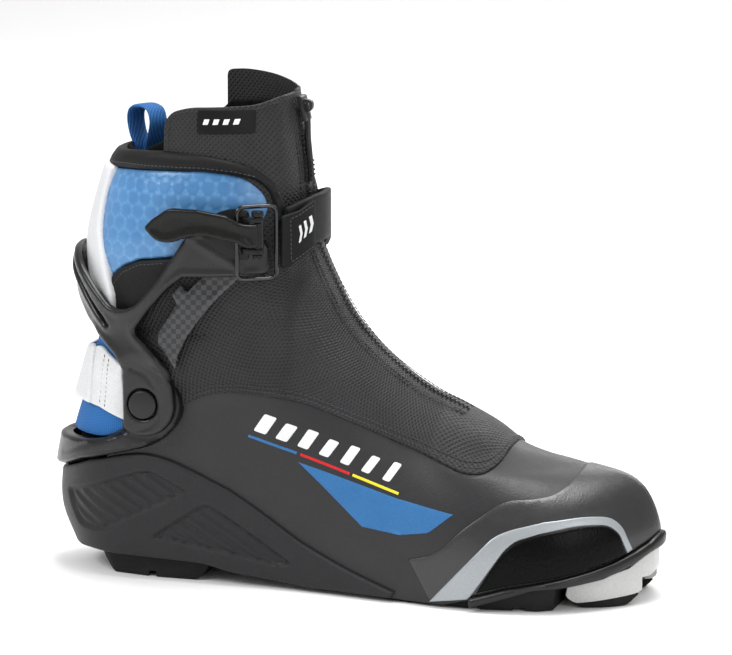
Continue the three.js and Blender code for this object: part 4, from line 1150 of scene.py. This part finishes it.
def heel_yoke():
    """The band round the heel that carries both ankle pins."""
    line = [(-62, 46), (-50, 47.6, 4), (-33, 55.6), (-13, 61.8, 6), (0, 64.5, 6), (8, 69, 4)]
    line += arc(BOSS_RADIUS + 1.2, -48, 80)
    line += [(-8, 102.2), (-10.3, 100), (-10.3, 76, 2), (-10, 72.5, 6), (-24, 67, 8), (-40, 65, 8),
             (-52, 63, 4), (-62, 59)]
    loops = [wrap_loop(LEG, line, step=1.0)]

    def rim_step(uv, points, distance):
        """Lower under the turning eye, full height in the band round it."""
        reach = np.hypot(points[:, 0] - HINGE[0], points[:, 2] - HINGE[1])
        seat = 1 - smoothstep(17.2, 19.5, reach)
        return groove(points, YOKE_GROOVE, 0.6, 0.8) * (1 - seat) - 0.3 * seat

    seat = flat_eye(-6.2)
    obj = panel("heel_yoke", LEG, loops, 0.6, 5.5, edge=1.5, spacing=1.6, rim=0.2,
                relief=rim_step, adjust=seat)
    mount(obj, "yoke", "boot", "frame_grey", "heel_yoke")


STRUT = [
    (50, 156), (50, 152), (37, 139.5, 6), (25, 124.5, 6), (18.5, 113, 6), (17, 105), (12.8, 111),
    (8, 116.5), (8, 122), (18, 137), (15.5, 142), (20, 146), (23.5, 143), (31, 151), (31, 156),
]


def carbon_struts():
    for name, side in SIDES.items():
        loop = side_loop(LEG_FRAME, STRUT, side)
        obj = panel(f"carbon_strut_{name}", LEG_FRAME, [loop], -2.3, 1.9, edge=0.5, spacing=2.4)
        mount(obj, "carbon", "cuff", "carbon", f"carbon_strut_{name}")


# ------------------------------------------------------------------ soft cuff

PAD_EDGE = [(-19, 119), (-18, 136), (-21, 146, 3), (-14, 152, 4), (-3, 156.5), (12, 158.5, 6)]
CELL_PITCH = 7.4
CELL_HEIGHT = 0.42


def cell_relief(uv, depth):
    """Raised round cells on a honeycomb grid, low in the lines between them."""
    row_height = CELL_PITCH * math.sqrt(3) / 2
    best = np.full(len(uv), FAR)
    row = np.floor(uv[:, 1] / row_height)
    for near in (0, 1):
        y = (row + near) * row_height
        shift = ((row + near) % 2) * CELL_PITCH / 2
        x = np.round((uv[:, 0] - shift) / CELL_PITCH) * CELL_PITCH + shift
        best = np.minimum(best, np.hypot(uv[:, 0] - x, uv[:, 1] - y))
    share = best / (CELL_PITCH / 2)
    return depth * (1 - smoothstep(0.84, 1.02, share))


def cuff_pad():
    line = [(-48, 119)] + PAD_EDGE + [
        (34, 162), (56, 172, 6), (61.5, 182, 8), (59, 190, 8), (54, 195, 8), (44, 198.5, 6), (30, 200),
        (10, 200), (-12, 199), (-25, 197.6), (-48, 197)]

    def cushion(uv, points, distance):
        rear = 1 - smoothstep(-34, -18, points[:, 0])
        swell = (1.3 - 1.2 * rear) * smoothstep(0.5, 13, distance)
        return swell + cell_relief(uv, CELL_HEIGHT) * smoothstep(1, 4, distance)

    obj = panel("cuff_pad", LEG_CUFF, [wrap_loop(LEG_CUFF, line)], -4.6, 2.6, edge=1.6,
                spacing=1.25, relief=cushion)
    store(obj, "cell", cell_relief(flat_of(obj), 1.0))
    mount(obj, "blue_pad", "cuff", "blue_pad", "cuff_pad")


def cuff_binding():
    line = [(-48, 196.6), (-25, 197.8), (-12, 199.2), (10, 200), (30, 200.2), (44, 198.6, 6),
            (54.5, 195.6, 8), (59.6, 190.4, 8), (62.3, 182), (65, 173), (68, 181, 8), (64.5, 192.5, 8),
            (55, 201, 8), (44, 205.5, 8), (30, 208), (11, 209), (-11, 207.5), (-22, 206), (-48, 205)]
    loop = wrap_loop(LEG_CUFF, line, step=1.0)
    obj = panel("cuff_binding", LEG_CUFF, [loop], -5.2, 5.6, edge=3.2, spacing=1.8, rim=0.4)
    mount(obj, "pad", "cuff", "black_leather", "cuff_binding")


def cuff_lower_pads():
    outline = PAD_EDGE + [(19, 158), (14, 148), (4, 136), (-4, 126), (-12, 119.5)]

    def rim_band(uv, points, distance):
        band = 1 - smoothstep(4.0, 5.2, line_gap(points, PAD_EDGE[2:]))
        return 0.7 * band + cell_relief(uv, 0.2) * (1 - band)

    for name, side in SIDES.items():
        loop = side_loop(LEG_CUFF, shifted(outline, 0.35, -0.35), side)
        obj = panel(f"cuff_lower_pad_{name}", LEG_CUFF, [loop], -4.6, 2.9, edge=1.2, spacing=1.4,
                    relief=rim_band)
        mount(obj, "pad", "cuff", "black_leather", f"cuff_lower_pad_{name}")


def cuff_spine():
    line = [(-48, 199.5), (-20, 198.5, 2), (-24.5, 181, 6), (-25.5, 168, 6), (-21.5, 154, 6),
            (-17, 138), (-16.4, 122), (-48, 122)]
    obj = panel("cuff_spine", LEG_CUFF, [wrap_loop(LEG_CUFF, line)], -2.4, 3.8, edge=1.2, spacing=2.4)
    mount(obj, "white", "cuff", "white_plastic", "cuff_spine")


def heel_stretch():
    line = [(-60, 66), (-22, 68, 4), (-12.4, 72.5), (-12.4, 124), (-60, 124)]

    def pulled(uv, points, distance):
        return 0.5 * np.sin(uv[:, 1] / 5.5) * smoothstep(2, 9, distance) * (points[:, 2] > 84)

    obj = panel("heel_panel", LEG, [wrap_loop(LEG, line)], -0.9, 1.2, edge=0.6,
                spacing=2.4, relief=pulled)
    mount(obj, "blue_cloth", "ankle", "blue_fabric", "heel_panel")


HEEL_STRAP = [
    (-48, 104.5), (-37, 105.4), (-29, 109, 4), (-24, 111, 3), (-16, 106.5), (-10.7, 103.5),
    (-10.7, 77.4), (-24, 82), (-36, 83), (-52, 80.5),
]


def heel_strap():
    def slack(uv, points, distance):
        return 0.35 * np.sin(uv[:, 0] / 6.5) * smoothstep(1, 6, distance)

    obj = panel("heel_strap", LEG, [wrap_loop(LEG, HEEL_STRAP)], 1.8, 1.6, edge=0.7,
                spacing=2.0, relief=slack)
    mount(obj, "white_strap", "boot", "white_leather", "heel_strap")
    sleeve = [(-48, 104.6), (-37, 106, 2), (-29.5, 110.2, 2), (-27.4, 109.4, 2), (-28.6, 82.4, 2),
              (-36, 82.8), (-52, 80)]
    obj = panel("heel_strap_sleeve", LEG, [wrap_loop(LEG, sleeve)], 3.2, 1.9,
                edge=1.7, spacing=1.8, rim=0.15)
    mount(obj, "white_strap", "boot", "white_leather")


LABEL = [(26.5, 217.6, 1), (51.5, 217.6, 1), (51.3, 228.8, 1), (26.6, 229, 1)]
LABEL_BARS = 4
LABEL_BAR_PITCH = 4.4


def collar_label():
    """A plain sewn label with a row of slanted bars."""
    loop = side_loop(LEG, LABEL, LATERAL)
    obj = panel("collar_label", LEG, [loop], 0.9, 0.5, edge=0.3, spacing=2.0)
    mount(obj, "label", "cuff", "black_leather", "collar_label")
    for i in range(LABEL_BARS):
        x = 29 + LABEL_BAR_PITCH * i
        bar = [(x, 222), (x + 2.4, 222), (x + 3.2, 224.6), (x + 0.8, 224.6)]
        loop = side_loop(LEG, bar, LATERAL, step=0.8)
        obj = panel(f"label_bar_{i + 1}", LEG, [loop], 1.3, 0.2, edge=0.1, spacing=1.0)
        mount(obj, "print_white", "cuff", "white_leather")


LINER_TOP = [(-30, 207), (-8, 206.5), (8, 213.5), (20, 224), (80, 228)]
LINER_BOTTOM_Z = 112.0
LINER_DEPTH = (-2.9, -5.5)
LINER_SAMPLE_Z = 212.0


def liner_collar():
    """The fleece lining of the leg: a tube, open below, rolled over at its top edge."""
    columns = 150
    rows = 34
    turns = np.linspace(-math.pi, math.pi, columns, endpoint=False)
    around = turns * LEG.RADIUS
    rng = np.random.default_rng(7)
    top_x = LEG.surface(np.column_stack([around, np.full(columns, LINER_SAMPLE_Z)]))[:, 0]
    tops = np.interp(top_x, *np.transpose(LINER_TOP))
    outer, inner = LINER_DEPTH
    middle, roll = (outer + inner) / 2, (outer - inner) / 2
    profile = [(t, outer, 0) for t in np.linspace(0, 1, rows)]
    profile += [(1, middle + roll * math.cos(a), roll * math.sin(a)) for a in np.linspace(0.4, 2.74, 6)]
    profile += [(t, inner, 0) for t in np.linspace(1, 0, rows)]
    verts = []
    for t, offset, rise in profile:
        z = LINER_BOTTOM_Z + (tops - 1.5 - LINER_BOTTOM_Z) * t
        points, normals = lifted(LEG, np.column_stack([around, z]), 0.0)
        normals[:, 2] = 0
        points = points + unit(normals) * (offset + rng.normal(0, 0.12, columns))[:, None]
        points[:, 2] += rise + rng.normal(0, 0.1, columns)
        verts.append(points)
    obj = add_object("liner_upper", np.vstack(verts), skin(len(profile), columns, closed=True))
    mount(obj, "fleece", "cuff", "fleece", "liner_upper")


def band(name, path, across, width, thickness):
    """A webbing band of rounded section swept along a path in space."""
    section = []
    for sign in (1, -1):
        for s in np.linspace(-1, 1, 9) * sign:
            thin = math.sqrt(max(0.0, 1 - abs(s) ** 6))
            section.append((s * width / 2, sign * thickness / 2 * max(thin, 0.25)))
    verts = []
    for p, t in zip(path, unit(np.gradient(path, axis=0))):
        out = unit(np.cross(t, across))
        verts += [p + across * a + out * b for a, b in section]
    return add_object(name, verts, skin(len(path), len(section)))


TAB_CENTRE_X = -11.0
TAB_TURN = math.radians(-32)
TAB_LOOP = [
    (-14.4, 197), (-15.4, 204), (-19, 211), (-20.6, 217.5), (-19.4, 222), (-15.6, 224),
    (-9.4, 224.4), (-5.2, 222.6), (-3.4, 217.5), (-5, 211), (-7.4, 204), (-7.8, 197),
]


def pull_tab():
    """The loop of webbing at the heel of the collar, turned a little to the outer side."""
    x, z = spline(TAB_LOOP, 70).T
    turn = np.array([math.cos(TAB_TURN), math.sin(TAB_TURN), 0])
    away = x - TAB_CENTRE_X
    path = np.column_stack([TAB_CENTRE_X + away * turn[0], away * turn[1] - 1.0, z])
    across = np.array([-turn[1], turn[0], 0])
    obj = band("pull_tab", path, across, 10.4, 1.9)
    mount(obj, "webbing", "cuff", "blue_fabric", "pull_tab")


# ------------------------------------------------------------------ strap and buckle

BUCKLE_Z = 168.0


def beside_frame(x, distance, side=LATERAL):
    """The y of a point at a distance from the frame's inner face, at the buckle's height."""
    step = 0.5
    near, here, far = FRAME.half_width(
        np.array([x - step, x, x + step], float), np.full(3, BUCKLE_Z), np.full(3, side))
    return float(side * (here + distance * math.hypot(1, (far - near) / (2 * step))))


class WallMap:
    """An upright wall along a top-view path: u is the distance along it, v is z."""

    def __init__(self, points):
        curve = spline([(x, y, 0) for x, y in points], 160)
        self.x, self.y = curve[:, 0], curve[:, 1]
        steps = np.hypot(np.diff(self.x), np.diff(self.y))
        self.s = np.concatenate([[0], np.cumsum(steps)])

    def surface(self, uv):
        return np.column_stack([np.interp(uv[:, 0], self.s, self.x),
                                np.interp(uv[:, 0], self.s, self.y), uv[:, 1]])

    def at_x(self, x):
        order = np.argsort(self.x)
        return np.interp(x, self.x[order], self.s[order])

    def loop(self, corners, step=1.0):
        """An outline given in x and z, for a path that runs one way in x."""
        flat = rounded(corners)
        flat[:, 0] = self.at_x(flat[:, 0])
        return clean_loop(flat, step)


STRAP_EDGE_X = [20, 60, 70, 76, 90]
STRAP_LOW = [153, 152, 156, 163.5, 164.5]
STRAP_HIGH = [179, 180, 184, 186.8, 188.5]


def ankle_strap():
    anchor = [(x, beside_frame(x, 4.9, MEDIAL)) for x in (34, 44, 54)]
    around = [(65.5, 33), (73.5, 19), (77.2, 0), (75, -16.5), (71.6, -26), (68.6, -31)]
    wall = WallMap(anchor + around)
    low = np.interp(wall.x, STRAP_EDGE_X, STRAP_LOW)
    high = np.interp(wall.x, STRAP_EDGE_X, STRAP_HIGH)
    loop = np.vstack([np.column_stack([wall.s, low]), np.column_stack([wall.s, high])[::-1]])
    obj = panel("ankle_strap", wall, [clean_loop(loop, 1.2)], -1.1, 2.2, edge=0.9, spacing=2.2)
    mount(obj, "strap", "cuff", "black_leather", "ankle_strap")


TAB_PATH = [(67.2, -36.2), (69.6, -33.6), (72.8, -30), (76.1, -24.8), (78.3, -19.2)]
TAB_MARKS = 3
TAB_MARK = [(0, 0), (0.75, 0.8), (1.25, 4.6), (0.75, 8.6), (0, 8), (0.5, 4.2)]


def strap_tab():
    wall = WallMap(TAB_PATH)
    outline = [(67.2, 155.4, 1), (70, 155.6), (79, 162.6, 1), (78.9, 186, 1), (74, 182), (67.4, 180, 1)]
    obj = panel("strap_tab", wall, [wall.loop(outline)], -0.8, 1.7, edge=0.7, spacing=1.6)
    mount(obj, "strap", "ring", "black_leather", "strap_tab")
    top = [(70.4, 178.6), (73.4, 180), (77.6, 183.4)]
    bottom = [(70.6, 158), (73.6, 160), (77.4, 163.6)]
    rows = []
    for line in (top, bottom, [top[0], bottom[0]]):
        path = densify(np.array(line, float), 0.6, closed=False)
        path[:, 0] = wall.at_x(path[:, 0])
        points = wall.surface(path)
        ahead = wall.surface(path + [0.4, 0]) - wall.surface(path - [0.4, 0])
        normals = unit(np.column_stack([-ahead[:, 1], ahead[:, 0], np.zeros(len(path))]))
        normals *= np.where(normals[:, 1] > 0, -1, 1)[:, None]
        rows.append((points + normals * 0.95, normals))
    mount(stitches("strap_tab_stitches", rows, 2.2, 1.5, 0.4, 0.3), "thread_grey", "ring", "cord")
    for i in range(TAB_MARKS):
        x = 73.2 + 1.6 * i
        rise = 166.6 + 1.9 * i
        mark = shifted(TAB_MARK, x, rise)
        obj = panel(f"strap_tab_mark_{i + 1}", wall, [wall.loop(mark, 0.6)], 0.8, 0.28, edge=0.1,
                    spacing=0.8)
        mount(obj, "print_white", "ring", "white_leather")


LEVER_PIN_X = 58
LEVER_PIN_Y = beside_frame(LEVER_PIN_X, 7.2)


def buckle_lever():
    """The curved blade and the round knuckle that turns on the pin."""
    path = [(59, 9.3), (54, 10), (49, 10), (42, 9.2), (32, 8.2), (18, 6.8), (3.6, 5.6)]
    wall = WallMap([(x, beside_frame(x, d)) for x, d in path])
    blade = [(3.8, 173.8, 2), (8, 178.2, 2), (17, 184.2, 3), (31, 184), (45, 181.6), (52, 177.6, 3),
             (58.6, 177.4, 1), (58.6, 166.2, 1), (54, 166, 4), (49, 169), (36, 171.6), (27, 171.2, 4),
             (18, 167.4, 5), (10, 167.8, 4)]

    def dished(uv, points, distance):
        return -0.7 * smoothstep(1.0, 5, distance) + 0.5 * smoothstep(40, 56, points[:, 0])

    obj = panel("buckle_lever", wall, [wall.loop(blade, 0.9)], -1.1, 2.4, edge=1.0, spacing=1.3,
                relief=dished)
    axis = [(LEVER_PIN_X, LEVER_PIN_Y, z) for z in np.linspace(166, 177.6, 6)]
    knuckle = tube("buckle_lever_knuckle", axis, 3.1, 24)
    mount(obj, "lever", "lever", "black_steel", "buckle_lever")
    mount(knuckle, "lever", "lever", "black_steel")


RING_REAR_X = 48.8
RING_FRONT_X = 65
RING_Z = (150.5, 185.2)


def buckle_ring():
    """The bent wire loop round the lever, standing clear of the frame."""
    rear = np.array([RING_REAR_X, beside_frame(RING_REAR_X, 6.7)])
    front = np.array([RING_FRONT_X, beside_frame(RING_FRONT_X, 2.2)])
    low, high = RING_Z
    corner = 4
    width = np.hypot(*(front - rear))
    corners = [(0, low, corner), (width, low, corner), (width, high, corner), (0, high, corner)]
    outline = clean_loop(rounded(corners, step=0.9), 0.9)
    plan = rear + (front - rear) * outline[:, :1] / width
    obj = tube("buckle_ring", np.column_stack([plan, outline[:, 1]]), 1.05, 14, closed=True)
    mount(obj, "ring_steel", "ring", "steel", "buckle_ring")


# ------------------------------------------------------------------ prints on the shell

STRIPE_START = (50.2, 72.7)
STRIPE_END = (126.6, 51.2)
STRIPE_WIDTH = 1.3
STRIPES = {"blue": (0.0, 0.315), "red": (0.34, 0.67), "yellow": (0.69, 1.0)}
WEDGE = [(75.3, 62.3), (126, 49.6), (154.6, 44.6), (142.7, 35.1, 2), (128, 32.6), (108.6, 34.6)]
SIDE_BARS = 7
SIDE_BAR_START = 0.02  # shares of the stripes' length
SIDE_BAR_PITCH = 0.142
SIDE_BAR_GAP = 4.0
SIDE_BAR_HEIGHT = 9.6
SIDE_BAR_DROP = 0.9
SIDE_BAR_SLANT = 3.2
SIDE_BAR_WIDTH = 6.4
SIDE_BAR_TAPER = 0.4


def print_patch(name, finish, slot, corners):
    """A thin printed area on the outer side of the shell."""
    loop = side_loop(SOCK, corners, LATERAL, step=1.0)
    obj = panel(name, SOCK, [loop], 0.0, 0.16, edge=0.12, spacing=2.6, under=-0.2)
    mount(obj, finish, "boot", slot)


def shell_prints():
    """Three stripes in line, a wedge below them and a row of slanted bars above."""
    start, end = np.array(STRIPE_START), np.array(STRIPE_END)
    run = (end - start) / np.hypot(*(end - start))
    up = np.array([-run[1], run[0]])
    for colour, (a, b) in STRIPES.items():
        p, q = start + (end - start) * a, start + (end - start) * b
        corners = [tuple(p), tuple(q), tuple(q + up * STRIPE_WIDTH), tuple(p + up * STRIPE_WIDTH)]
        print_patch("stripe_" + colour, "print_" + colour, "white_leather", corners)
    print_patch("side_wedge", "print_blue", "blue_fabric", WEDGE)
    length = np.hypot(*(end - start))
    for i in range(SIDE_BARS):
        low = start + run * (SIDE_BAR_START + SIDE_BAR_PITCH * i) * length + up * SIDE_BAR_GAP
        high = low + up * (SIDE_BAR_HEIGHT - SIDE_BAR_DROP * (i % 2)) + run * SIDE_BAR_SLANT
        wide = run * (SIDE_BAR_WIDTH - SIDE_BAR_TAPER * i)
        corners = [(*low, 1), (*(low + wide), 1), (*(high + wide), 1), (*high, 1)]
        print_patch(f"side_bar_{i + 1}", "print_white", "white_leather", corners)


# ------------------------------------------------------------------ seams

# Sizes of stitches.
BOLD = {"length": 2.0, "width": 0.7, "height": 0.5}
PLAIN = {"length": 1.9, "width": 0.6, "height": 0.5}
FINE = {"length": 1.4, "width": 0.45, "height": 0.4}
SLIM = {"length": 1.5, "width": 0.4, "height": 0.35}
COLLAR = {"length": 1.8, "width": 0.6, "height": 0.45}
BINDING_LINE = [(-24, 199.6), (-12, 201), (10, 201.8), (30, 202), (44, 200.4), (54, 197.6)]
LOWER_PAD_LINE = [(-17.6, 143), (-12, 149.4), (-2.6, 154), (11.6, 156)]
STRAP_LINES = [[(-20.4, 107.8), (-23.4, 83)], [(-17.8, 106.2), (-20.6, 82)]]
COLLAR_LINES = [[(12.6, 224.5), (11.8, 209)], [(14, 225.8), (22, 228.2), (51, 228.6), (59, 231)]]


def seam(name, finish, body, rows, pitch, size):
    mount(stitches(name, rows, pitch, **size), finish, body, "cord")


def seams():
    edge = rounded(GAITER_EDGE[2:], closed=False)
    both = list(SIDES.values())
    rows = [surface_path(SOCK, edge + [dx, dz], side, 1.1)
            for dx, dz in ((-0.3, 2.0), (-0.9, 4.2)) for side in both]
    seam("gaiter_edge_stitches", "thread", "ankle", rows, 2.3, BOLD)
    flat = SOCK.flat(zip_line()[0])
    rows = [lifted(SOCK, flat + [offset, 0], 1.2) for offset in (-8.2, -6.4, 6.4, 8.2)]
    seam("zip_stitches", "thread", "ankle", rows, 2.4, PLAIN)
    rows = [surface_path(LEG_CUFF, BINDING_LINE, side, 0.05) for side in both]
    seam("binding_stitches", "thread_grey", "cuff", rows, 2.2, FINE)
    rows = [surface_path(LEG_CUFF, LOWER_PAD_LINE, side, -0.9) for side in both]
    seam("lower_pad_stitches", "thread_grey", "cuff", rows, 2.2, FINE)
    rows = [surface_path(LEG, line, side, 3.6) for side in both for line in STRAP_LINES]
    seam("heel_strap_stitches", "thread", "boot", rows, 2.2, SLIM)
    rows = [surface_path(LEG, line, LATERAL, 1.1) for line in COLLAR_LINES]
    seam("collar_stitches", "thread", "cuff", rows, 2.3, COLLAR)


# ------------------------------------------------------------------ zip puller and hard parts

# Finish and width of the rounded edges in mm.
HARD_NODES = {
    "sole_plate": ("rubber", 0.5), "heel_tread": ("rubber", 0.6), "forefoot_tread": ("rubber", 0.5),
    "toe_block": ("toe_white", 0.7), "toe_bar": ("steel", 0.3), "toe_tip_rubber": ("rubber", 0.5),
    "hinge_pin_lateral": ("pin", 0.9), "hinge_pin_medial": ("pin", 0.9),
    "buckle_base": ("lever", 0.35), "lever_pin": ("lever", 0.4), "strap_rivet": ("black_steel", 0.5),
    "zip_slider": ("black_steel", 0.3),
    "lasting_board": ("board", 0), "footbed": ("fleece", 0), "liner_lower": ("fleece", 0),
    "tongue": ("fleece", 0), "lace_cord": ("cord", 0), "lace_rail_lateral": ("fleece", 0),
    "lace_rail_medial": ("fleece", 0),
}


# The puller's middle line: height, and distance in front of the boot.
PULLER_LINE = [
    (228.5, 4.6), (224, 4.4), (220, 4.2), (212, 3.1), (204, 2.7), (197, 2.6), (191.5, 2.6),
]
PULLER_RIDGES = 4


def zip_puller():
    """The soft tab on the slider, with grip ridges near its end."""
    path = spline([(front_x(z) + away, 0, z) for z, away in PULLER_LINE], 40)
    obj = band("zip_puller", path, np.array([0, 1.0, 0]), 6.2, 1.9)
    mount(obj, "rubber", "puller", "rubber", "zip_puller")
    for i in range(PULLER_RIDGES):
        z = 194.5 + 2.2 * i
        x = float(front_x(z)) + 3.6
        across = [(x, y, z) for y in np.linspace(-2.5, 2.5, 6)]
        ridge = tube(f"zip_puller_ridge_{i + 1}", across, 0.5)
        mount(ridge, "rubber", "puller", "rubber")


def hard_parts():
    for node, (finish, width) in HARD_NODES.items():
        bevelled(node, finish, width)


# ------------------------------------------------------------------ build

upper_shell()
toe_overlay()
toe_trims()
heel_chassis()
toe_welt()
gaiter()
zip_closure()
cuff_frame()
heel_yoke()
carbon_struts()
cuff_pad()
cuff_binding()
cuff_lower_pads()
cuff_spine()
heel_stretch()
heel_strap()
collar_label()
liner_collar()
pull_tab()
ankle_strap()
strap_tab()
buckle_lever()
buckle_ring()
shell_prints()
seams()
zip_puller()
hard_parts()

# ------------------------------------------------------------------ studio

# Lengths here are metres. Each light: place, size, watts.
LIGHTS = {
    "key": ((-1.1, -1.3, 1.5), (0.9, 0.8), 26),
    "fill": ((1.5, -1.2, 0.8), (0.8, 1.0), 8),
    "top": ((0.25, 0.1, 1.9), (1.0, 0.7), 34),
    "rim": ((0.5, 1.6, 1.1), (1.4, 0.8), 12),
}
LIGHT_TARGET = (0.09, 0, 0.1)
WORLD_STRENGTH = 0.56
FLOOR_GREY = 0.92
FLOOR_HALF = 4.0
FLOOR_BACK = 3.0
WALL_HEIGHT = 3.0
COVE_RADIUS = 1.2
COVE_STEPS = 12
FLOOR_DROP = 0.0003
CAMERA_AIM = (0.091, 0, 0.108)
CAMERA_DISTANCE = 2.2
CAMERA_AZIMUTH = math.radians(17)
CAMERA_ELEVATION = math.radians(11.5)


def point_at(obj, place, direction):
    """Puts a light or camera at a place, looking along a direction."""
    obj.location = place
    obj.rotation_mode = "QUATERNION"
    obj.rotation_quaternion = direction.to_track_quat("-Z", "Y")
    bpy.context.scene.collection.objects.link(obj)


def floor():
    """A pale floor that curves up into a back wall."""
    profile = [(-FLOOR_HALF, 0.0), (FLOOR_BACK - COVE_RADIUS, 0.0)]
    for k in range(1, COVE_STEPS + 1):
        turn = math.pi / 2 * k / COVE_STEPS
        profile.append((FLOOR_BACK - COVE_RADIUS + COVE_RADIUS * math.sin(turn),
                        COVE_RADIUS - COVE_RADIUS * math.cos(turn)))
    profile.append((FLOOR_BACK, WALL_HEIGHT))
    verts = [(x, y, z - FLOOR_DROP) for y, z in profile for x in (-FLOOR_HALF, FLOOR_HALF)]
    faces = [(2 * k, 2 * k + 1, 2 * k + 3, 2 * k + 2) for k in range(len(profile) - 1)]
    mesh = bpy.data.meshes.new("studio_floor")
    mesh.from_pydata(verts, [], faces)
    mesh.polygons.foreach_set("use_smooth", [True] * len(faces))
    s = Shader("studio_floor")
    s.set(Base_Color=(FLOOR_GREY, FLOOR_GREY, FLOOR_GREY, 1), Roughness=0.8)
    mesh.materials.append(s.material)
    obj = bpy.data.objects.new("studio_floor", mesh)
    bpy.context.scene.collection.objects.link(obj)


def lights():
    world = bpy.data.worlds.new("studio")
    bpy.context.scene.world = world
    world.use_nodes = True
    background = world.node_tree.nodes["Background"]
    background.inputs["Color"].default_value = (1, 1, 1, 1)
    background.inputs["Strength"].default_value = WORLD_STRENGTH
    for name, (place, size, power) in LIGHTS.items():
        light = bpy.data.lights.new(name, "AREA")
        light.shape = "RECTANGLE"
        light.size, light.size_y = size
        light.energy = power
        point_at(bpy.data.objects.new(name, light), place, Vector(LIGHT_TARGET) - Vector(place))


def camera():
    lens = bpy.data.cameras.new("camera")
    lens.lens = 226.1
    lens.sensor_width = 36
    lens.shift_x = 0.019
    lens.shift_y = 0.0376
    lens.clip_start, lens.clip_end = 0.05, 50
    level = math.cos(CAMERA_ELEVATION)
    back = Vector((math.sin(CAMERA_AZIMUTH) * level, -math.cos(CAMERA_AZIMUTH) * level,
                   math.sin(CAMERA_ELEVATION)))
    obj = bpy.data.objects.new("camera", lens)
    point_at(obj, Vector(CAMERA_AIM) + back * CAMERA_DISTANCE, -back)
    bpy.context.scene.camera = obj
    bpy.context.scene.view_settings.view_transform = "Standard"


floor()
lights()
camera()
